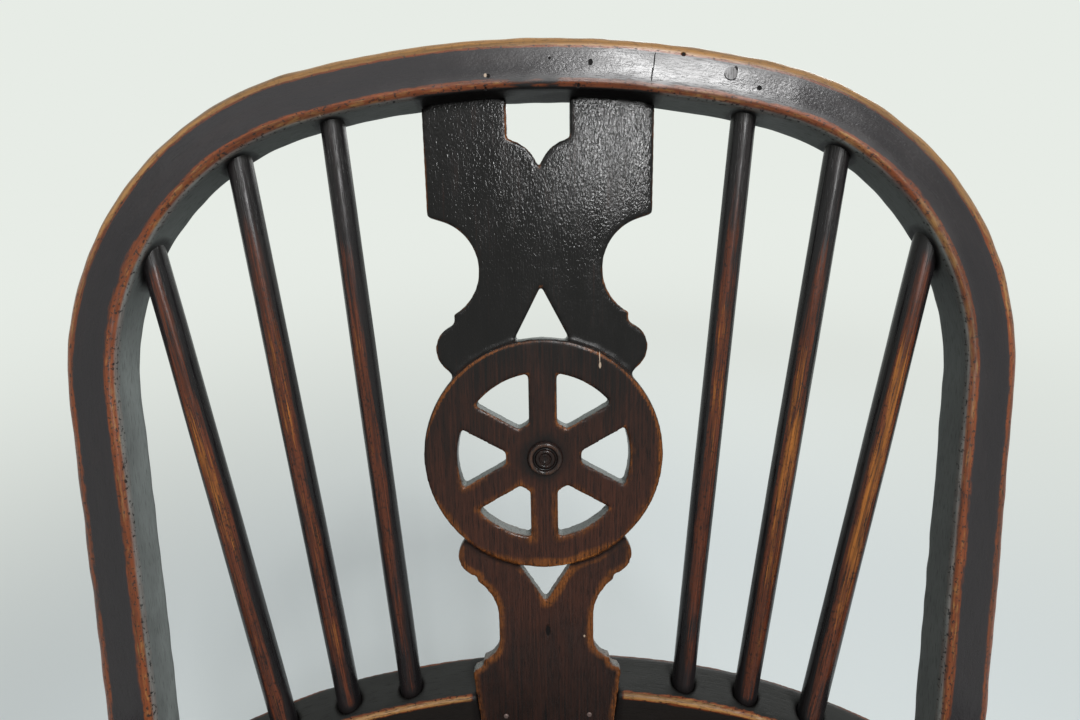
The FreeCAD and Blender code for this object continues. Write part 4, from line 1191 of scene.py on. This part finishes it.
class CHAIR_OT_stage(bpy.types.Operator):
    """Sets the pale floor, the soft lamps and the camera"""

    bl_idname = "chair.stage"
    bl_label = "Stage"

    def execute(self, context):
        stage = context.scene.wheelback_stage
        self.floor(stage)
        self.world(context.scene, stage)
        self.lamp("key_lamp", stage.key, (0.62, 0.42), (0.55, -1.1, 2.42), (0.08, 0.25, 1.0))
        for lamp in LAMPS:
            self.lamp(*lamp)
        self.camera(context.scene, stage)
        context.scene.view_settings.view_transform = "Standard"
        return {"FINISHED"}

    def floor(self, stage):
        """A round floor that fades into the background far from the chair."""
        sides, radii = 96, (0.6, 1.2, 2.0, 3.2, 5.0, 8.0, 14.0, 30.0)
        angle = np.linspace(0, 2 * math.pi, sides, endpoint=False)
        points, faces = [(0.0, 0.0, 0.0)], []
        for r in radii:
            points += [(r * math.cos(a), r * math.sin(a), 0.0) for a in angle]
        for k in range(sides):
            faces.append((0, 1 + k, 1 + (k + 1) % sides))
            for ring in range(len(radii) - 1):
                low, high = 1 + ring * sides, 1 + (ring + 1) * sides
                faces.append((low + k, high + k, high + (k + 1) % sides, low + (k + 1) % sides))
        mesh = bpy.data.meshes.new("studio_floor")
        mesh.from_pydata(points, [], faces)
        obj = linked(bpy.data.objects.new("studio_floor", mesh))
        material = bpy.data.materials.new("matt_painted_floor")
        tree = fresh_tree(material)
        place = put(tree, "NewGeometry").node.outputs["Position"]
        far = put(tree, "VectorMath", {0: place}, operation="LENGTH")
        near = put(tree, "Math", {0: 1.0, 1: far}, operation="DIVIDE")
        fading = put(tree, "MapRange", {0: near, 1: 1.0, 2: 0.08},
                     interpolation_type="SMOOTHERSTEP")
        seen = shows_background(tree)
        fading = put(tree, "Math", {0: fading, 1: seen}, operation="MULTIPLY")
        coat = put(tree, "Mix", {0: seen, 6: full(stage.shade), 7: full(stage.floor)},
                   data_type="RGBA")
        paint_coat = put(tree, "BsdfPrincipled", {
            "Base Color": coat, "Roughness": 0.85, "Specular IOR Level": 0.2})
        distance = put(tree, "Emission", {"Color": full(stage.air), "Strength": 1.0})
        both = put(tree, "MixShader", {0: fading, 1: paint_coat, 2: distance})
        put(tree, "OutputMaterial", {"Surface": both})
        mesh.materials.append(material)

    def world(self, scene, stage):
        """Even room light, and the pale background where the camera or gloss looks past it."""
        scene.world = bpy.data.worlds.new("soft_room")
        tree = fresh_tree(scene.world)
        room = put(tree, "Background", {"Color": (1.0, 1.0, 1.0, 1.0), "Strength": stage.room})
        air = put(tree, "Background", {"Color": full(stage.air), "Strength": 1.0})
        both = put(tree, "MixShader", {0: shows_background(tree), 1: room, 2: air})
        put(tree, "OutputWorld", {"Surface": both})

    def lamp(self, name, power, size, place, aim):
        light = bpy.data.lights.new(name, "AREA")
        light.shape = "RECTANGLE"
        light.size, light.size_y = size
        light.energy = power
        obj = linked(bpy.data.objects.new(name, light))
        obj.location = place
        obj.visible_camera = False
        way = Vector(aim) - Vector(place)
        obj.rotation_euler = way.to_track_quat("-Z", "Y").to_euler()

    def camera(self, scene, stage):
        """Close in front of the back, a little over the bow's top, and looking down."""
        camera = bpy.data.cameras.new("camera")
        camera.lens = stage.lens
        camera.sensor_width = 36.0
        camera.clip_start = 0.01
        obj = linked(bpy.data.objects.new("camera", camera))
        right = Vector((math.cos(CAMERA_YAW), -math.sin(CAMERA_YAW), 0.0))
        level = Vector((math.sin(CAMERA_YAW), math.cos(CAMERA_YAW), 0.0))
        way = math.cos(stage.pitch) * level - math.sin(stage.pitch) * Vector((0.0, 0.0, 1.0))
        up = right.cross(way)
        turned_right = math.cos(stage.roll) * right - math.sin(stage.roll) * up
        turned_up = math.sin(stage.roll) * right + math.cos(stage.roll) * up
        turn = Matrix((turned_right, turned_up, -way)).transposed().to_4x4()
        place = Vector((CAMERA_SIDE, SPLAT_FACE_Y - CAMERA_OUT, ARM_TOP + CAMERA_RISE)) * MM
        obj.matrix_world = Matrix.Translation(place) @ turn
        scene.camera = obj


class CHAIR_PT_pieces(bpy.types.Panel):
    """Lists the chair's pieces and settings in the sidebar"""

    bl_label = "Wheelback armchair"
    bl_space_type = "VIEW_3D"
    bl_region_type = "UI"
    bl_category = "Chair"

    def draw(self, context):
        layout = self.layout
        for operator in OPERATORS:
            layout.operator(operator.bl_idname)
        for group in (context.scene.wheelback_wood, context.scene.wheelback_tools,
                      context.scene.wheelback_stage):
            box = layout.box()
            for key in group.bl_rna.properties.keys():
                if key not in ("rna_type", "name"):
                    box.prop(group, key)


OPERATORS = (
    CHAIR_OT_stage, CHAIR_OT_back_bow, CHAIR_OT_arm_bow, CHAIR_OT_splat, CHAIR_OT_sticks,
    CHAIR_OT_seat, CHAIR_OT_turned_parts, CHAIR_OT_small_parts,
)
CLASSES = (WoodLooks, ToolMarks, StageSettings) + OPERATORS + (CHAIR_PT_pieces,)


def register():
    for cls in CLASSES:
        bpy.utils.register_class(cls)
    bpy.types.Scene.wheelback_wood = PointerProperty(type=WoodLooks)
    bpy.types.Scene.wheelback_tools = PointerProperty(type=ToolMarks)
    bpy.types.Scene.wheelback_stage = PointerProperty(type=StageSettings)


def unregister():
    del bpy.types.Scene.wheelback_stage
    del bpy.types.Scene.wheelback_tools
    del bpy.types.Scene.wheelback_wood
    for cls in reversed(CLASSES):
        bpy.utils.unregister_class(cls)


def main():
    register()
    bpy.ops.chair.stage()
    bpy.ops.chair.back_bow()
    bpy.ops.chair.arm_bow()
    bpy.ops.chair.splat()
    bpy.ops.chair.sticks()
    bpy.ops.chair.seat()
    bpy.ops.chair.turned_parts()
    bpy.ops.chair.small_parts()


if __name__ == "__main__":
    main()
